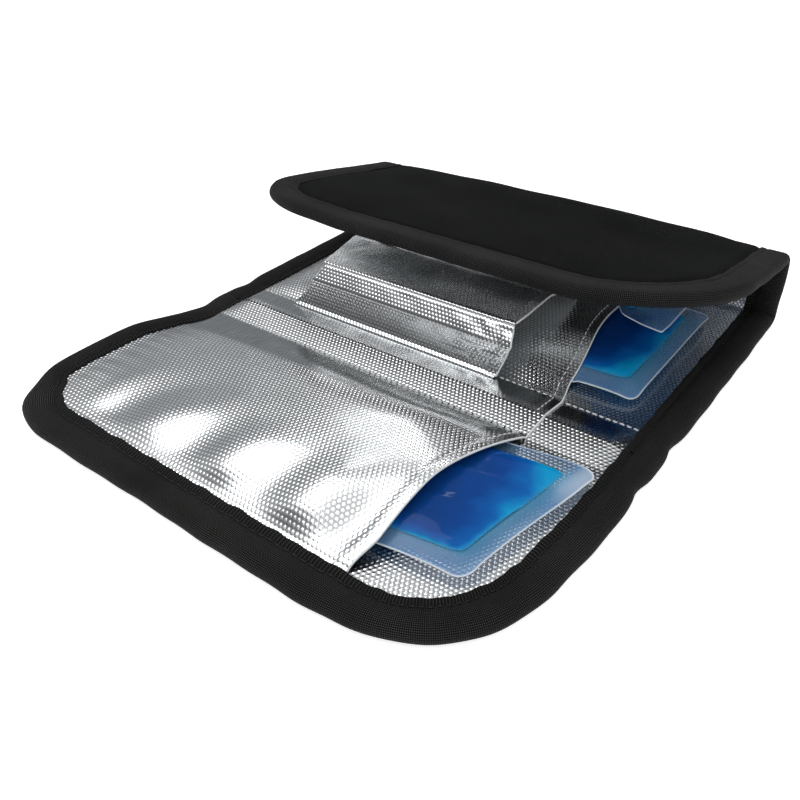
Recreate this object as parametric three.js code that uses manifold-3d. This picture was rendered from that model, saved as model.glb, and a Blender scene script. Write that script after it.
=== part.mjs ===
// Tri-fold insulated case for insulin pens, open on a table, in millimetres, +Z up.
// X runs along the folds, the front panel lies towards -Y, and the cover flap stands over the
// middle panel. Each panel is modelled flat in a group whose origin is its own fold axis, and the
// groups are nested as the folds are, so a panel turns about its group's X axis.

import * as THREE from "three";
import { mergeVertices } from "three/addons/utils/BufferGeometryUtils.js";
import Module from "manifold-3d";

const wasm = await Module();
wasm.setup();

// Plan sizes: the length of every fold, and the depths across the folds that no pocket sets. The
// corners at the left end are tighter.
const caseLength = 205;
const frontSpineDepth = 25.4;
const middleDepth = 102;
const backSpineDepth = 21;
const frontCornerRadius = 40;
const frontLeftCornerRadius = 28;
const coverCornerRadius = 50;
const coverLeftCornerRadius = 32;

// Rest pose: the back spine stands upright, and the cover rises a little towards its free edge.
const backSpineDegrees = 90;
const coverLiftDegrees = 8;

// Layers of a panel, from the lining down, with a small air gap between two layers.
const liningThickness = 0.5;
const foamThickness = 2.5;
const clothThickness = 0.8;
const layerGap = 0.3;

// Binding tape: folded round the free edges, wider on the lining side.
const tapeThickness = 0.9;
const tapeInnerWidth = 12.7;
const tapeOuterWidth = 10;

// Folds: each panel stops short of its fold axis, which lies just above the tallest layer there.
const foldGap = 0.3;
const foldClearance = 0.3;

// Film pockets: sheets sewn to the lining, open to the right along a mouth that leaves some of the
// lining bare. The front and cover panels are as deep as their packs and these margins ask.
const sheetThickness = 0.6;
const bareLining = 35;
const seamWidth = 3;
const frontPocketMargin = 8.45;
const coverPocketMargin = 4;

// The front pocket's mouth gapes: its film rises further over the last stretch before the mouth.
const frontGape = 3.8;
const frontGapeLength = 60;

// Gel packs: a gel pillow in a welded bag.
const bagLength = 150;
const bagWidth = 64;
const bagFilmThickness = 0.6;
const bagCornerRadius = 4;
const bagFromPocketEnd = 21.5;
const weldWidth = 7;
const gelThickness = 5;
const slideClearance = 0.3;

// Pen pocket: a bellows that stands on the middle pocket sheet, open at its right end, and a little
// lower than the back spine. Its left end leans in, and its top spreads to the left at the rear.
const penPocketBelowSpine = 1.4;
const penPocketFromEnd = 19.5;
const penPocketLength = 102;
const penPocketMouthLean = 2;
const penPocketLeftLean = 11;
const penPocketRearSpread = 13;
const penPocketFrontBase = 1;
const penPocketFrontCrease = 6.6;
const penPocketFrontTop = 8;
const penPocketLevelEnd = 37;
const penPocketRear = 60;
const penPocketRearFlap = 4;
const penPocketEndShort = 9;
const penPocketEndLean = 2.5;
const penPocketCreaseShare = 0.5;

// Hook and loop fastening, centred on the case's length.
const fastenerLength = 60;
const hookWidth = 10;
const hookThickness = 1.2;
const loopWidth = 20;
const loopThickness = 0.7;
const loopFromFold = 15;

// How far a cutting solid runs past the face it cuts.
const overrun = 1;

// Values that follow from the sizes above.
const halfLength = caseLength / 2;
const panelThickness = liningThickness + foamThickness + clothThickness + 2 * layerGap;
const tapeTop = layerGap + tapeThickness;
const pivotHeight = tapeTop + foldClearance;
const panelBottom = -panelThickness;
const sheetLow = layerGap;
const sheetTop = sheetLow + sheetThickness;
const gelLow = tapeTop + slideClearance;
const gelMiddle = gelLow + gelThickness / 2;
const pocketLeft = -(halfLength - tapeInnerWidth - layerGap);
const pocketMouth = -pocketLeft - bareLining;
const bagLeft = pocketLeft + bagFromPocketEnd;
const bagCentreX = bagLeft + bagLength / 2;
const frontDepth = bagWidth + 2 * frontPocketMargin + tapeInnerWidth;
const coverDepth = bagWidth + 2 * coverPocketMargin + layerGap + hookWidth + tapeInnerWidth;
const penPocketHeight = backSpineDepth - penPocketBelowSpine;
const penPocketLeftBase = pocketLeft + penPocketFromEnd;
const penPocketLeftTop = penPocketLeftBase + penPocketLeftLean;
const penPocketLeftRear = penPocketLeftTop - penPocketRearSpread;
const penPocketMouthBase = penPocketLeftBase + penPocketLength;
const penPocketMouth = penPocketMouthBase + penPocketMouthLean;
const gelHalfLength = bagLength / 2 - weldWidth;
const gelHalfWidth = bagWidth / 2 - weldWidth;

const mergeShare = 0.001;
const curveSteps = 12;
const gelOutlinePower = 5;
const gelCrownPower = 4;
const gelOutlinePoints = 40;
const gelRingShares = [1, 0.96, 0.9, 0.8, 0.62, 0.35];
const gapeStationShares = [0.75, 0.25];

const materials = {
  outerCloth: new THREE.MeshStandardMaterial({ color: 0x1a1c1d, roughness: 0.9, metalness: 0 }),
  bindingTape: new THREE.MeshStandardMaterial({ color: 0x242322, roughness: 0.85, metalness: 0 }),
  silverFilm: new THREE.MeshStandardMaterial({ color: 0xc9ccce, roughness: 0.3, metalness: 0.9 }),
  foam: new THREE.MeshStandardMaterial({ color: 0xe6e4dc, roughness: 1, metalness: 0 }),
  bagFilm: new THREE.MeshStandardMaterial({ color: 0xcfdde6, roughness: 0.25, metalness: 0 }),
  blueGel: new THREE.MeshStandardMaterial({ color: 0x0b46a0, roughness: 0.12, metalness: 0 }),
  hookTape: new THREE.MeshStandardMaterial({ color: 0x141414, roughness: 0.7, metalness: 0 }),
  loopTape: new THREE.MeshStandardMaterial({ color: 0x1c1c1c, roughness: 1, metalness: 0 }),
};

// A closed geometry as a solid that can be joined and cut.
function toSolid(geometry) {
  const bare = geometry.clone();
  bare.deleteAttribute("normal");
  bare.deleteAttribute("uv");
  const merged = mergeVertices(bare, layerGap * mergeShare);
  return new wasm.Manifold(
    new wasm.Mesh({
      numProp: 3,
      vertProperties: new Float32Array(merged.attributes.position.array),
      triVerts: new Uint32Array(merged.index.array),
    }),
  );
}

function toGeometry(solid) {
  const mesh = solid.getMesh();
  const geometry = new THREE.BufferGeometry();
  geometry.setAttribute("position", new THREE.BufferAttribute(mesh.vertProperties, 3));
  geometry.setIndex(new THREE.BufferAttribute(mesh.triVerts, 1));
  geometry.computeVertexNormals();
  return geometry;
}

function addMesh(group, name, geometry, material) {
  const mesh = new THREE.Mesh(geometry, material);
  mesh.name = name;
  group.add(mesh);
}

// An upright prism over a plan shape, from one height to another.
function prism(shape, low, high) {
  const geometry = new THREE.ExtrudeGeometry(shape, {
    depth: high - low,
    bevelEnabled: false,
    curveSegments: curveSteps,
  });
  geometry.translate(0, 0, low);
  return toSolid(geometry);
}

// A plan with the two corners at its far end rounded. The far end may lie towards +Y or -Y.
function roundedPlan(left, right, start, end, rightRadius = 0, leftRadius = rightRadius) {
  const way = Math.sign(end - start);
  const quarter = (way * Math.PI) / 2;
  const shape = new THREE.Shape();
  shape.moveTo(left, start);
  shape.lineTo(right, start);
  shape.lineTo(right, end - way * rightRadius);
  if (rightRadius > 0) {
    shape.absarc(right - rightRadius, end - way * rightRadius, rightRadius, 0, quarter, way < 0);
  }
  shape.lineTo(left + leftRadius, end);
  if (leftRadius > 0) {
    shape.absarc(left + leftRadius, end - way * leftRadius, leftRadius, quarter, Math.PI, way < 0);
  }
  shape.closePath();
  return shape;
}

// A panel's plan, drawn in by one distance from its free edges. With past set, it runs on over the
// folds, as a cutting solid does.
function panelPlan(panel, inset, past = 0) {
  const start = past > 0 ? -past : foldGap;
  const reach = panel.depth - (panel.cornerRadius > 0 ? inset : foldGap - (past > 0 ? past + foldGap : 0));
  const radius = Math.max(panel.cornerRadius - inset, 0);
  const leftRadius = Math.max(panel.leftCornerRadius - inset, 0);
  const side = halfLength - inset;
  return roundedPlan(-side, side, panel.way * start, panel.way * reach, radius, leftRadius);
}

// The binding's section wraps the edge: a leg over the lining, a web and a leg under the cloth.
function bindingSolid(panel) {
  return prism(panelPlan(panel, 0), panelBottom, tapeTop)
    .subtract(prism(panelPlan(panel, tapeThickness, overrun), panelBottom + tapeThickness, layerGap))
    .subtract(prism(panelPlan(panel, tapeInnerWidth, overrun), 0, tapeTop + overrun))
    .subtract(prism(panelPlan(panel, tapeOuterWidth, overrun), panelBottom - overrun, 0));
}

function addBinding(group, panel) {
  const solid = bindingSolid(panel);
  if (panel.cornerRadius > 0) {
    addMesh(group, `${panel.name}_binding`, toGeometry(solid), materials.bindingTape);
    return;
  }
  for (const [side, from, to] of [
    ["left", -halfLength - overrun, 0],
    ["right", 0, halfLength + overrun],
  ]) {
    const half = roundedPlan(from, to, -panel.way * overrun, panel.way * (panel.depth + overrun));
    const run = solid.intersect(prism(half, panelBottom - overrun, tapeTop + overrun));
    addMesh(group, `${panel.name}_binding_${side}`, toGeometry(run), materials.bindingTape);
  }
}

// Where the loop strip is sewn on, the cloth is pressed up into the foam by the strip's height.
function fastenerPlan(panel, from, width, margin) {
  const half = fastenerLength / 2 + margin;
  return roundedPlan(-half, half, panel.way * (from - margin), panel.way * (from + width + margin));
}

// A panel's cloth: a shallow tray that bulges out between the bindings and is thin under them.
function clothSolid(panel) {
  const edge = tapeThickness + layerGap;
  const bulge = tapeOuterWidth + layerGap;
  const ledgeLow = panelBottom + tapeThickness + layerGap;
  let solid = prism(panelPlan(panel, edge), ledgeLow, ledgeLow + clothThickness)
    .add(prism(panelPlan(panel, bulge), panelBottom, ledgeLow + clothThickness))
    .subtract(
      prism(panelPlan(panel, bulge + clothThickness, overrun), panelBottom + clothThickness, 0),
    );
  if (panel.loopStrip) {
    const low = panelBottom + loopThickness + layerGap;
    const plan = (margin) => fastenerPlan(panel, loopFromFold, loopWidth, margin);
    solid = solid
      .add(prism(plan(layerGap + clothThickness), panelBottom, low + clothThickness))
      .subtract(prism(plan(layerGap), panelBottom - overrun, low));
  }
  return solid;
}

// The foam fills the cloth tray and thins out over its ledge.
function foamSolid(panel) {
  const edge = tapeThickness + layerGap;
  const bulge = tapeOuterWidth + clothThickness + 2 * layerGap;
  const high = -liningThickness - layerGap;
  const ledgeHigh = panelBottom + tapeThickness + clothThickness + 2 * layerGap;
  let solid = prism(panelPlan(panel, edge), ledgeHigh, high).add(
    prism(panelPlan(panel, bulge), panelBottom + clothThickness + layerGap, high),
  );
  if (panel.loopStrip) {
    const margin = clothThickness + 2 * layerGap;
    const low = panelBottom + loopThickness + clothThickness + 2 * layerGap;
    const plan = fastenerPlan(panel, loopFromFold, loopWidth, margin);
    solid = solid.subtract(prism(plan, panelBottom, low));
  }
  return solid;
}

function addPanel(group, panel) {
  const edge = tapeThickness + layerGap;
  const lining = prism(panelPlan(panel, edge), -liningThickness, 0);
  addMesh(group, `${panel.name}_cloth`, toGeometry(clothSolid(panel)), materials.outerCloth);
  addMesh(group, `${panel.name}_foam`, toGeometry(foamSolid(panel)), materials.foam);
  addMesh(group, `${panel.name}_lining`, toGeometry(lining), materials.silverFilm);
  addBinding(group, panel);
}

// A closed sheet from a grid of points and the step from its near face to its far face.
function gridSolid(rows, step) {
  const across = rows[0].length;
  const count = rows.length * across;
  const positions = [];
  for (const row of rows) for (const point of row) positions.push(...point);
  for (const row of rows) for (const point of row) positions.push(...point.map((v, k) => v + step[k]));
  const at = (i, j) => i * across + j;
  const index = [];
  for (let i = 0; i + 1 < rows.length; i += 1) {
    for (let j = 0; j + 1 < across; j += 1) {
      const [a, b, c, d] = [at(i, j), at(i, j + 1), at(i + 1, j + 1), at(i + 1, j)];
      index.push(a, b, c, a, c, d);
      index.push(a + count, c + count, b + count, a + count, d + count, c + count);
    }
  }
  const rim = [];
  for (let j = 0; j < across; j += 1) rim.push(at(0, j));
  for (let i = 1; i < rows.length; i += 1) rim.push(at(i, across - 1));
  for (let j = across - 2; j >= 0; j -= 1) rim.push(at(rows.length - 1, j));
  for (let i = rows.length - 2; i > 0; i -= 1) rim.push(at(i, 0));
  rim.forEach((a, k) => {
    const b = rim[(k + 1) % rim.length];
    index.push(a, a + count, b + count, a, b + count, b);
  });
  const geometry = new THREE.BufferGeometry();
  geometry.setAttribute("position", new THREE.Float32BufferAttribute(positions, 3));
  geometry.setIndex(index);
  return geometry;
}

// How full a gel pillow is at a place: 1 at its middle, 0 at its outline and outside.
function gelCrown(x, y) {
  const gauge =
    (Math.abs(x / gelHalfLength) ** gelOutlinePower + Math.abs(y / gelHalfWidth) ** gelOutlinePower) **
    (1 / gelOutlinePower);
  return 1 - Math.min(gauge, 1) ** gelCrownPower;
}

// Height of a pocket sheet's lower face. It lies on the lining at its seams and humps over the pack.
// From the pack's middle to the mouth it keeps its full height, so that the pack slides out, and a
// gape lifts the mouth's middle further.
function pocketHeight(pocket, x, y) {
  const rise = (distance, room) => THREE.MathUtils.clamp(distance / room, 0, 1);
  const fromLeft = rise(x - pocketLeft - seamWidth, bagLeft - layerGap - pocketLeft - seamWidth);
  const room = (pocket.depth - bagWidth) / 2 - 2 * layerGap;
  const fromFold = rise(y - seamWidth / 2, room - seamWidth / 2);
  const fromEdge = rise(pocket.depth - y - seamWidth / 2, room - seamWidth / 2);
  const overBag = gelMiddle + bagFilmThickness / 2 + layerGap - sheetLow;
  const overGel = (gelThickness - bagFilmThickness) / 2;
  const crown = gelCrown(Math.min(x - bagCentreX, 0), y - pocket.depth / 2);
  const towardsMouth = rise(x - pocketMouth + frontGapeLength, frontGapeLength);
  const gape = pocket.gape * towardsMouth * Math.sin(Math.PI * rise(y, pocket.depth));
  return sheetLow + Math.min(fromLeft, fromFold, fromEdge) * overBag + crown * overGel + gape;
}

// Grid stations: the flat seam, the ramp, the bag's edge and steps over the gel's crown.
const crownShares = [-1, -0.94, -0.85, -0.7, -0.45, 0, 0.45, 0.7, 0.85, 0.94, 1];

function pocketStations(pocket) {
  const room = (pocket.depth - bagWidth) / 2 - 2 * layerGap;
  const middle = pocket.depth / 2;
  const ys = [
    foldGap,
    seamWidth / 2,
    room,
    ...crownShares.map((share) => middle + share * gelHalfWidth),
    pocket.depth - room,
    pocket.depth - seamWidth / 2,
    pocket.depth - layerGap,
  ];
  const crownStations = crownShares.map((share) => bagCentreX + share * gelHalfLength);
  const gapeStations = gapeStationShares.map((share) => pocketMouth - share * frontGapeLength);
  const stations = pocket.gape ? [...crownStations, ...gapeStations] : crownStations;
  const xs = [
    pocketLeft,
    pocketLeft + seamWidth,
    bagLeft - layerGap,
    ...stations.filter((x) => x < pocketMouth - seamWidth).sort((a, b) => a - b),
    pocketMouth,
  ];
  return { xs, ys };
}

function pocketSheetSolid(pocket) {
  const { xs, ys } = pocketStations(pocket);
  const rows = ys.map((y) => xs.map((x) => [x, pocket.way * y, pocketHeight(pocket, x, y)]));
  if (pocket.way > 0) rows.reverse();
  const sheet = toSolid(gridSolid(rows, [0, 0, sheetThickness]));
  if (!pocket.cornerRadius) return sheet;
  const end = pocket.way * (pocket.depth - layerGap);
  const plan = roundedPlan(pocketLeft, halfLength, 0, end, 0, pocket.cornerRadius);
  const above = gelLow + gelThickness + pocket.gape + sheetThickness + overrun;
  return sheet.intersect(prism(plan, 0, above));
}

function addPocketSheet(group, pocket) {
  const geometry = toGeometry(pocketSheetSolid(pocket));
  addMesh(group, `${pocket.name}_pocket_sheet`, geometry, materials.silverFilm);
}

// The gel pillow: rings from its outline to its middle, above and below.
function gelGeometry() {
  const positions = [];
  const ring = (share, side) => {
    for (let k = 0; k < gelOutlinePoints; k += 1) {
      const angle = (2 * Math.PI * k) / gelOutlinePoints;
      const [c, s] = [Math.cos(angle), Math.sin(angle)];
      const reach = (Math.abs(c) ** gelOutlinePower + Math.abs(s) ** gelOutlinePower) ** (-1 / gelOutlinePower);
      const height = (1 - share ** gelCrownPower) * (gelThickness / 2);
      positions.push(share * reach * c * gelHalfLength, share * reach * s * gelHalfWidth, side * height);
    }
  };
  ring(1, 0);
  const index = [];
  for (const side of [1, -1]) {
    let inner = 0;
    for (const share of gelRingShares.slice(1)) {
      const outer = inner;
      inner = positions.length / 3;
      ring(share, side);
      for (let k = 0; k < gelOutlinePoints; k += 1) {
        const next = (k + 1) % gelOutlinePoints;
        const quad = [outer + k, outer + next, inner + next, inner + k];
        if (side < 0) quad.reverse();
        index.push(quad[0], quad[1], quad[2], quad[0], quad[2], quad[3]);
      }
    }
    const tip = positions.length / 3;
    positions.push(0, 0, (side * gelThickness) / 2);
    for (let k = 0; k < gelOutlinePoints; k += 1) {
      const next = (k + 1) % gelOutlinePoints;
      index.push(...(side > 0 ? [inner + k, inner + next, tip] : [inner + next, inner + k, tip]));
    }
  }
  const geometry = new THREE.BufferGeometry();
  geometry.setAttribute("position", new THREE.Float32BufferAttribute(positions, 3));
  geometry.setIndex(index);
  return geometry;
}

// The bag's welded border round the pillow, halfway up it.
function bagGeometry() {
  const plan = new THREE.Shape();
  const [x, y, r] = [bagLength / 2, bagWidth / 2, bagCornerRadius];
  plan.moveTo(-x + r, -y);
  plan.absarc(x - r, -y + r, r, -Math.PI / 2, 0, false);
  plan.absarc(x - r, y - r, r, 0, Math.PI / 2, false);
  plan.absarc(-x + r, y - r, r, Math.PI / 2, Math.PI, false);
  plan.absarc(-x + r, -y + r, r, Math.PI, (3 * Math.PI) / 2, false);
  const hole = new THREE.Path();
  for (let k = 0; k < gelOutlinePoints; k += 1) {
    const angle = (-2 * Math.PI * k) / gelOutlinePoints;
    const [c, s] = [Math.cos(angle), Math.sin(angle)];
    const reach = (Math.abs(c) ** gelOutlinePower + Math.abs(s) ** gelOutlinePower) ** (-1 / gelOutlinePower);
    const point = [reach * c * (gelHalfLength + layerGap), reach * s * (gelHalfWidth + layerGap)];
    if (k === 0) hole.moveTo(...point);
    else hole.lineTo(...point);
  }
  hole.closePath();
  plan.holes.push(hole);
  return toGeometry(prism(plan, -bagFilmThickness / 2, bagFilmThickness / 2));
}

function addGelPack(group, pocket) {
  const pack = new THREE.Group();
  pack.position.set(bagCentreX, (pocket.way * pocket.depth) / 2, gelMiddle);
  addMesh(pack, `${pocket.name}_gel_bag`, bagGeometry(), materials.bagFilm);
  addMesh(pack, `${pocket.name}_gel_core`, gelGeometry(), materials.blueGel);
  group.add(pack);
}

// Pen pocket: a top sheet, level and then sloping to its rear seam, a creased front gusset, and a
// leaning left end. Its right end stays open.
function addPenPocket(group, pocket) {
  const seamHeight = pocketHeight(pocket, bagCentreX, penPocketRear) + sheetThickness + layerGap;
  const profile = [
    [penPocketFrontTop, penPocketHeight],
    [penPocketLevelEnd, penPocketHeight],
    [penPocketRear, seamHeight],
    [penPocketRear + penPocketRearFlap, seamHeight],
  ];
  const leftAt = (y) =>
    THREE.MathUtils.mapLinear(y, penPocketFrontTop, penPocketRear, penPocketLeftTop, penPocketLeftRear);
  const topRows = profile.map(([y, z]) => [
    [leftAt(y), y, z],
    [penPocketMouth, y, z],
  ]);
  topRows.reverse();
  const top = gridSolid(topRows, [0, 0, sheetThickness]);
  addMesh(group, "pen_pocket_top", top, materials.silverFilm);

  const standLow = sheetTop + layerGap;
  const standHigh = penPocketHeight - layerGap;
  const wallInset = sheetThickness + layerGap;
  const frontRows = [
    [0, penPocketFrontBase],
    [penPocketCreaseShare, penPocketFrontCrease],
    [1, penPocketFrontTop + sheetThickness],
  ].map(([share, y]) => {
    const z = THREE.MathUtils.lerp(standLow, standHigh, share);
    const left = THREE.MathUtils.lerp(penPocketLeftBase, penPocketLeftTop + 2 * wallInset, share);
    const right = THREE.MathUtils.lerp(penPocketMouthBase, penPocketMouth, share);
    return [
      [left, y, z],
      [right, y, z],
    ];
  });
  const front = gridSolid(frontRows.reverse(), [0, -sheetThickness, 0]);
  addMesh(group, "pen_pocket_front", front, materials.silverFilm);

  // The left end stands on the pocket sheet and leans in under the top sheet's edge.
  const topLow = (y) =>
    penPocketHeight - layerGap - Math.max(0, y - penPocketLevelEnd) *
      ((penPocketHeight - seamHeight) / (penPocketRear - penPocketLevelEnd));
  const endStop = penPocketRear - penPocketEndShort;
  const endStations = [penPocketFrontTop, penPocketLevelEnd / 2, penPocketLevelEnd, endStop];
  const endRows = endStations.map((y, k) => {
    const away = (k / (endStations.length - 1)) * penPocketEndLean;
    const base = penPocketLeftBase - 2 * layerGap - away;
    const low = pocketHeight(pocket, base, y) + sheetThickness + 2 * layerGap;
    return [
      [base, k ? y : penPocketFrontBase + sheetThickness, k ? low : standLow],
      [leftAt(y) + wallInset, y, topLow(y)],
    ];
  });
  const end = gridSolid(endRows.reverse(), [-sheetThickness, 0, 0]);
  addMesh(group, "pen_pocket_left_end", end, materials.silverFilm);
}

const roundFront = { cornerRadius: frontCornerRadius, leftCornerRadius: frontLeftCornerRadius };
const roundCover = { cornerRadius: coverCornerRadius, leftCornerRadius: coverLeftCornerRadius };
const square = { cornerRadius: 0, leftCornerRadius: 0 };
const front = { name: "front", depth: frontDepth, way: -1, loopStrip: true, ...roundFront };
const frontSpine = { name: "front_spine", depth: frontSpineDepth, way: -1, ...square };
const middle = { name: "middle", depth: middleDepth, way: 1, ...square };
const backSpine = { name: "back_spine", depth: backSpineDepth, way: 1, ...square };
const cover = { name: "cover", depth: coverDepth, way: 1, ...roundCover };

const frontPocket = {
  name: "front",
  depth: frontDepth - tapeInnerWidth,
  way: -1,
  cornerRadius: Math.max(frontLeftCornerRadius - tapeInnerWidth - layerGap, 0),
  gape: frontGape,
};
const middlePocket = { name: "middle", depth: middleDepth, way: 1, gape: 0 };
const coverPocket = {
  name: "cover",
  depth: coverDepth - tapeInnerWidth - hookWidth - layerGap,
  way: 1,
  cornerRadius: Math.max(coverLeftCornerRadius - tapeInnerWidth - hookWidth, 0),
  gape: 0,
};

// Every panel group has its fold axis as its origin. Its pieces are lowered so that the axis lies
// at the pivot height above the lining.
function foldGroup(parent, offset, degrees) {
  const fold = new THREE.Group();
  fold.position.set(0, offset, 0);
  fold.rotation.x = THREE.MathUtils.degToRad(degrees);
  parent.add(fold);
  const pieces = new THREE.Group();
  pieces.position.z = -pivotHeight;
  fold.add(pieces);
  return { fold, pieces };
}

// The origin is the middle of the case's footprint, on the table.
const insulinCase = new THREE.Group();
const backReach = middleDepth + pivotHeight + panelThickness;
const frontReach = frontSpineDepth + frontDepth;
const middleFold = new THREE.Group();
middleFold.position.set(0, (frontReach - backReach) / 2, panelThickness + pivotHeight);
insulinCase.add(middleFold);

const middlePieces = new THREE.Group();
middlePieces.position.z = -pivotHeight;
middleFold.add(middlePieces);
addPanel(middlePieces, middle);
addPocketSheet(middlePieces, middlePocket);
addPenPocket(middlePieces, middlePocket);
addGelPack(middlePieces, middlePocket);

const frontSpineFold = foldGroup(middleFold, 0, 0);
addPanel(frontSpineFold.pieces, frontSpine);
const spineSheetPlan = roundedPlan(pocketLeft, pocketMouth, -foldGap, foldGap - frontSpineDepth);
addMesh(
  frontSpineFold.pieces,
  "front_spine_sheet",
  toGeometry(prism(spineSheetPlan, sheetLow, sheetTop)),
  materials.silverFilm,
);

const frontFold = foldGroup(frontSpineFold.fold, -frontSpineDepth, 0);
addPanel(frontFold.pieces, front);
addPocketSheet(frontFold.pieces, frontPocket);
addGelPack(frontFold.pieces, frontPocket);
addMesh(
  frontFold.pieces,
  "loop_strip",
  toGeometry(prism(fastenerPlan(front, loopFromFold, loopWidth, 0), panelBottom, panelBottom + loopThickness)),
  materials.loopTape,
);

const backSpineFold = foldGroup(middleFold, middleDepth, backSpineDegrees);
addPanel(backSpineFold.pieces, backSpine);

const coverFold = foldGroup(backSpineFold.fold, backSpineDepth, backSpineDegrees - coverLiftDegrees);
addPanel(coverFold.pieces, cover);
addPocketSheet(coverFold.pieces, coverPocket);
addGelPack(coverFold.pieces, coverPocket);
const hookFrom = coverPocket.depth;
addMesh(
  coverFold.pieces,
  "hook_strip",
  toGeometry(prism(fastenerPlan(cover, hookFrom, hookWidth, 0), layerGap, layerGap + hookThickness)),
  materials.hookTape,
);

export default insulinCase;
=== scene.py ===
import math

import bpy
import numpy as np
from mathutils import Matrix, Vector


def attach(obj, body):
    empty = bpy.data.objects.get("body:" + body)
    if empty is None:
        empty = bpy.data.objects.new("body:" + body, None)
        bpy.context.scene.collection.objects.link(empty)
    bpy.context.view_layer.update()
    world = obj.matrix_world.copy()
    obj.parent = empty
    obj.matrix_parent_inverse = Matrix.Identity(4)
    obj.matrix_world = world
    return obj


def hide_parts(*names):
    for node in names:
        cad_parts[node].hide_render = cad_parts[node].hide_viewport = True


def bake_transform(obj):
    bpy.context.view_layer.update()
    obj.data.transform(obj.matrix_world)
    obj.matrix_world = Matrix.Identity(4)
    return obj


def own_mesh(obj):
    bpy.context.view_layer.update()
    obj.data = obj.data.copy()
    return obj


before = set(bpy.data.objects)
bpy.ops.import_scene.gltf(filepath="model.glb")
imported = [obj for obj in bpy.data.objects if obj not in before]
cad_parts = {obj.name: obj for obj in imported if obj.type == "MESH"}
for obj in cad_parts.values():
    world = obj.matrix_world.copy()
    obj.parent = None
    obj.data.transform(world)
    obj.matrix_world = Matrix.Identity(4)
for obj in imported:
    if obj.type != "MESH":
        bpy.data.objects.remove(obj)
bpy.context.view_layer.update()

MM = 0.001


# ---- The table and the light -------------------------------------------------------------------
# The case lies open on a plain white table under an even studio sky with one large softbox, which
# is what draws the white flashes on the silver film.

scene = bpy.context.scene
scene.view_settings.view_transform = "Standard"

camera_data = bpy.data.cameras.new("camera")
camera_data.sensor_width = 36
camera_data.lens = 35.865
camera_data.clip_start = 0.01
camera = bpy.data.objects.new("camera", camera_data)
camera.location = (0.16119, -0.20924, 0.17116)
camera.rotation_euler = [math.radians(angle) for angle in (54.75, 1.90, 37.93)]
scene.collection.objects.link(camera)
scene.camera = camera


def linear(hex_code):
    """An sRGB hex colour as linear RGBA."""
    value = hex_code.lstrip("#")
    channels = [int(value[k : k + 2], 16) / 255 for k in (0, 2, 4)]
    return [c / 12.92 if c <= 0.04045 else ((c + 0.055) / 1.055) ** 2.4 for c in channels] + [1.0]


def add_node(tree, kind, sockets=None, **settings):
    """Adds a shader node. Its sockets are given by name or number, as values or as links."""
    node = tree.nodes.new("ShaderNode" + kind)
    for name, value in settings.items():
        setattr(node, name, value)
    for name, value in (sockets or {}).items():
        if isinstance(value, bpy.types.NodeSocket):
            tree.links.new(value, node.inputs[name])
        else:
            node.inputs[name].default_value = value
    return node


# The room is white overhead and in front of the case, and its far side is grey, low down.
sky = bpy.data.worlds.new("studio_sky")
scene.world = sky
sky.use_nodes = True
tree = sky.node_tree
tree.nodes.clear()
place = add_node(tree, "TexCoord")
whiter_way = (0.277, -0.355, 1.0)
height = add_node(
    tree, "VectorMath", {0: place.outputs["Generated"], 1: whiter_way}, operation="DOT_PRODUCT"
).outputs["Value"]
greys = [(0.0, "#94979a"), (0.18, "#a2a4a6"), (0.45, "#c2c4c6"), (0.80, "#eeeff0")]
blend = add_node(tree, "ValToRGB", {0: height})
blend.color_ramp.interpolation = "EASE"
for k, (position, tone) in enumerate(greys):
    stop = blend.color_ramp.elements[k] if k < 2 else blend.color_ramp.elements.new(position)
    stop.position = position
    stop.color = linear(tone)
shade = blend.outputs["Color"]
# A dark doorway stands to the front and left.
doorway = (-0.497, -0.776, 0.388)
facing = add_node(
    tree, "VectorMath", {0: place.outputs["Generated"], 1: doorway}, operation="DOT_PRODUCT"
).outputs["Value"]
dark = add_node(
    tree,
    "MapRange",
    {"Value": facing, "From Min": 0.84, "From Max": 0.97, "To Min": 0.0, "To Max": 0.8},
).outputs[0]
room = add_node(tree, "Mix", {0: dark, 6: shade, 7: linear("#303234")}, data_type="RGBA").outputs[2]
glow = add_node(tree, "Background", {"Color": room, "Strength": 1.0})
add_node(tree, "OutputWorld", {"Surface": glow.outputs[0]})

# A large softbox overhead, a fill light in front, a small one behind, which the film's right side
# mirrors, and a small flash tube, which draws glints on the gel packs.
for name, stand, aim, size, power in [
    ("softbox_overhead", (-0.42, -0.10, 0.85), (0.0, -0.10, 0.0), (0.9, 0.55), 3.0),
    ("softbox_front", (0.55, -0.75, 0.60), (0.0, 0.0, 0.0), (0.7, 0.7), 1.5),
    ("softbox_behind", (-0.30, 0.37, 0.38), (0.087, -0.048, 0.005), (0.16, 0.07), 0.16),
    ("flash_tube", (-0.40, 0.05, 0.80), (0.06, -0.08, 0.0), (0.05, 0.05), 0.18),
]:
    lamp_data = bpy.data.lights.new(name, "AREA")
    lamp_data.shape = "RECTANGLE"
    lamp_data.size, lamp_data.size_y = size
    lamp_data.energy = power
    lamp = bpy.data.objects.new(name, lamp_data)
    lamp.location = stand
    lamp.rotation_euler = (Vector(aim) - Vector(stand)).to_track_quat("-Z", "Y").to_euler()
    scene.collection.objects.link(lamp)

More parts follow.
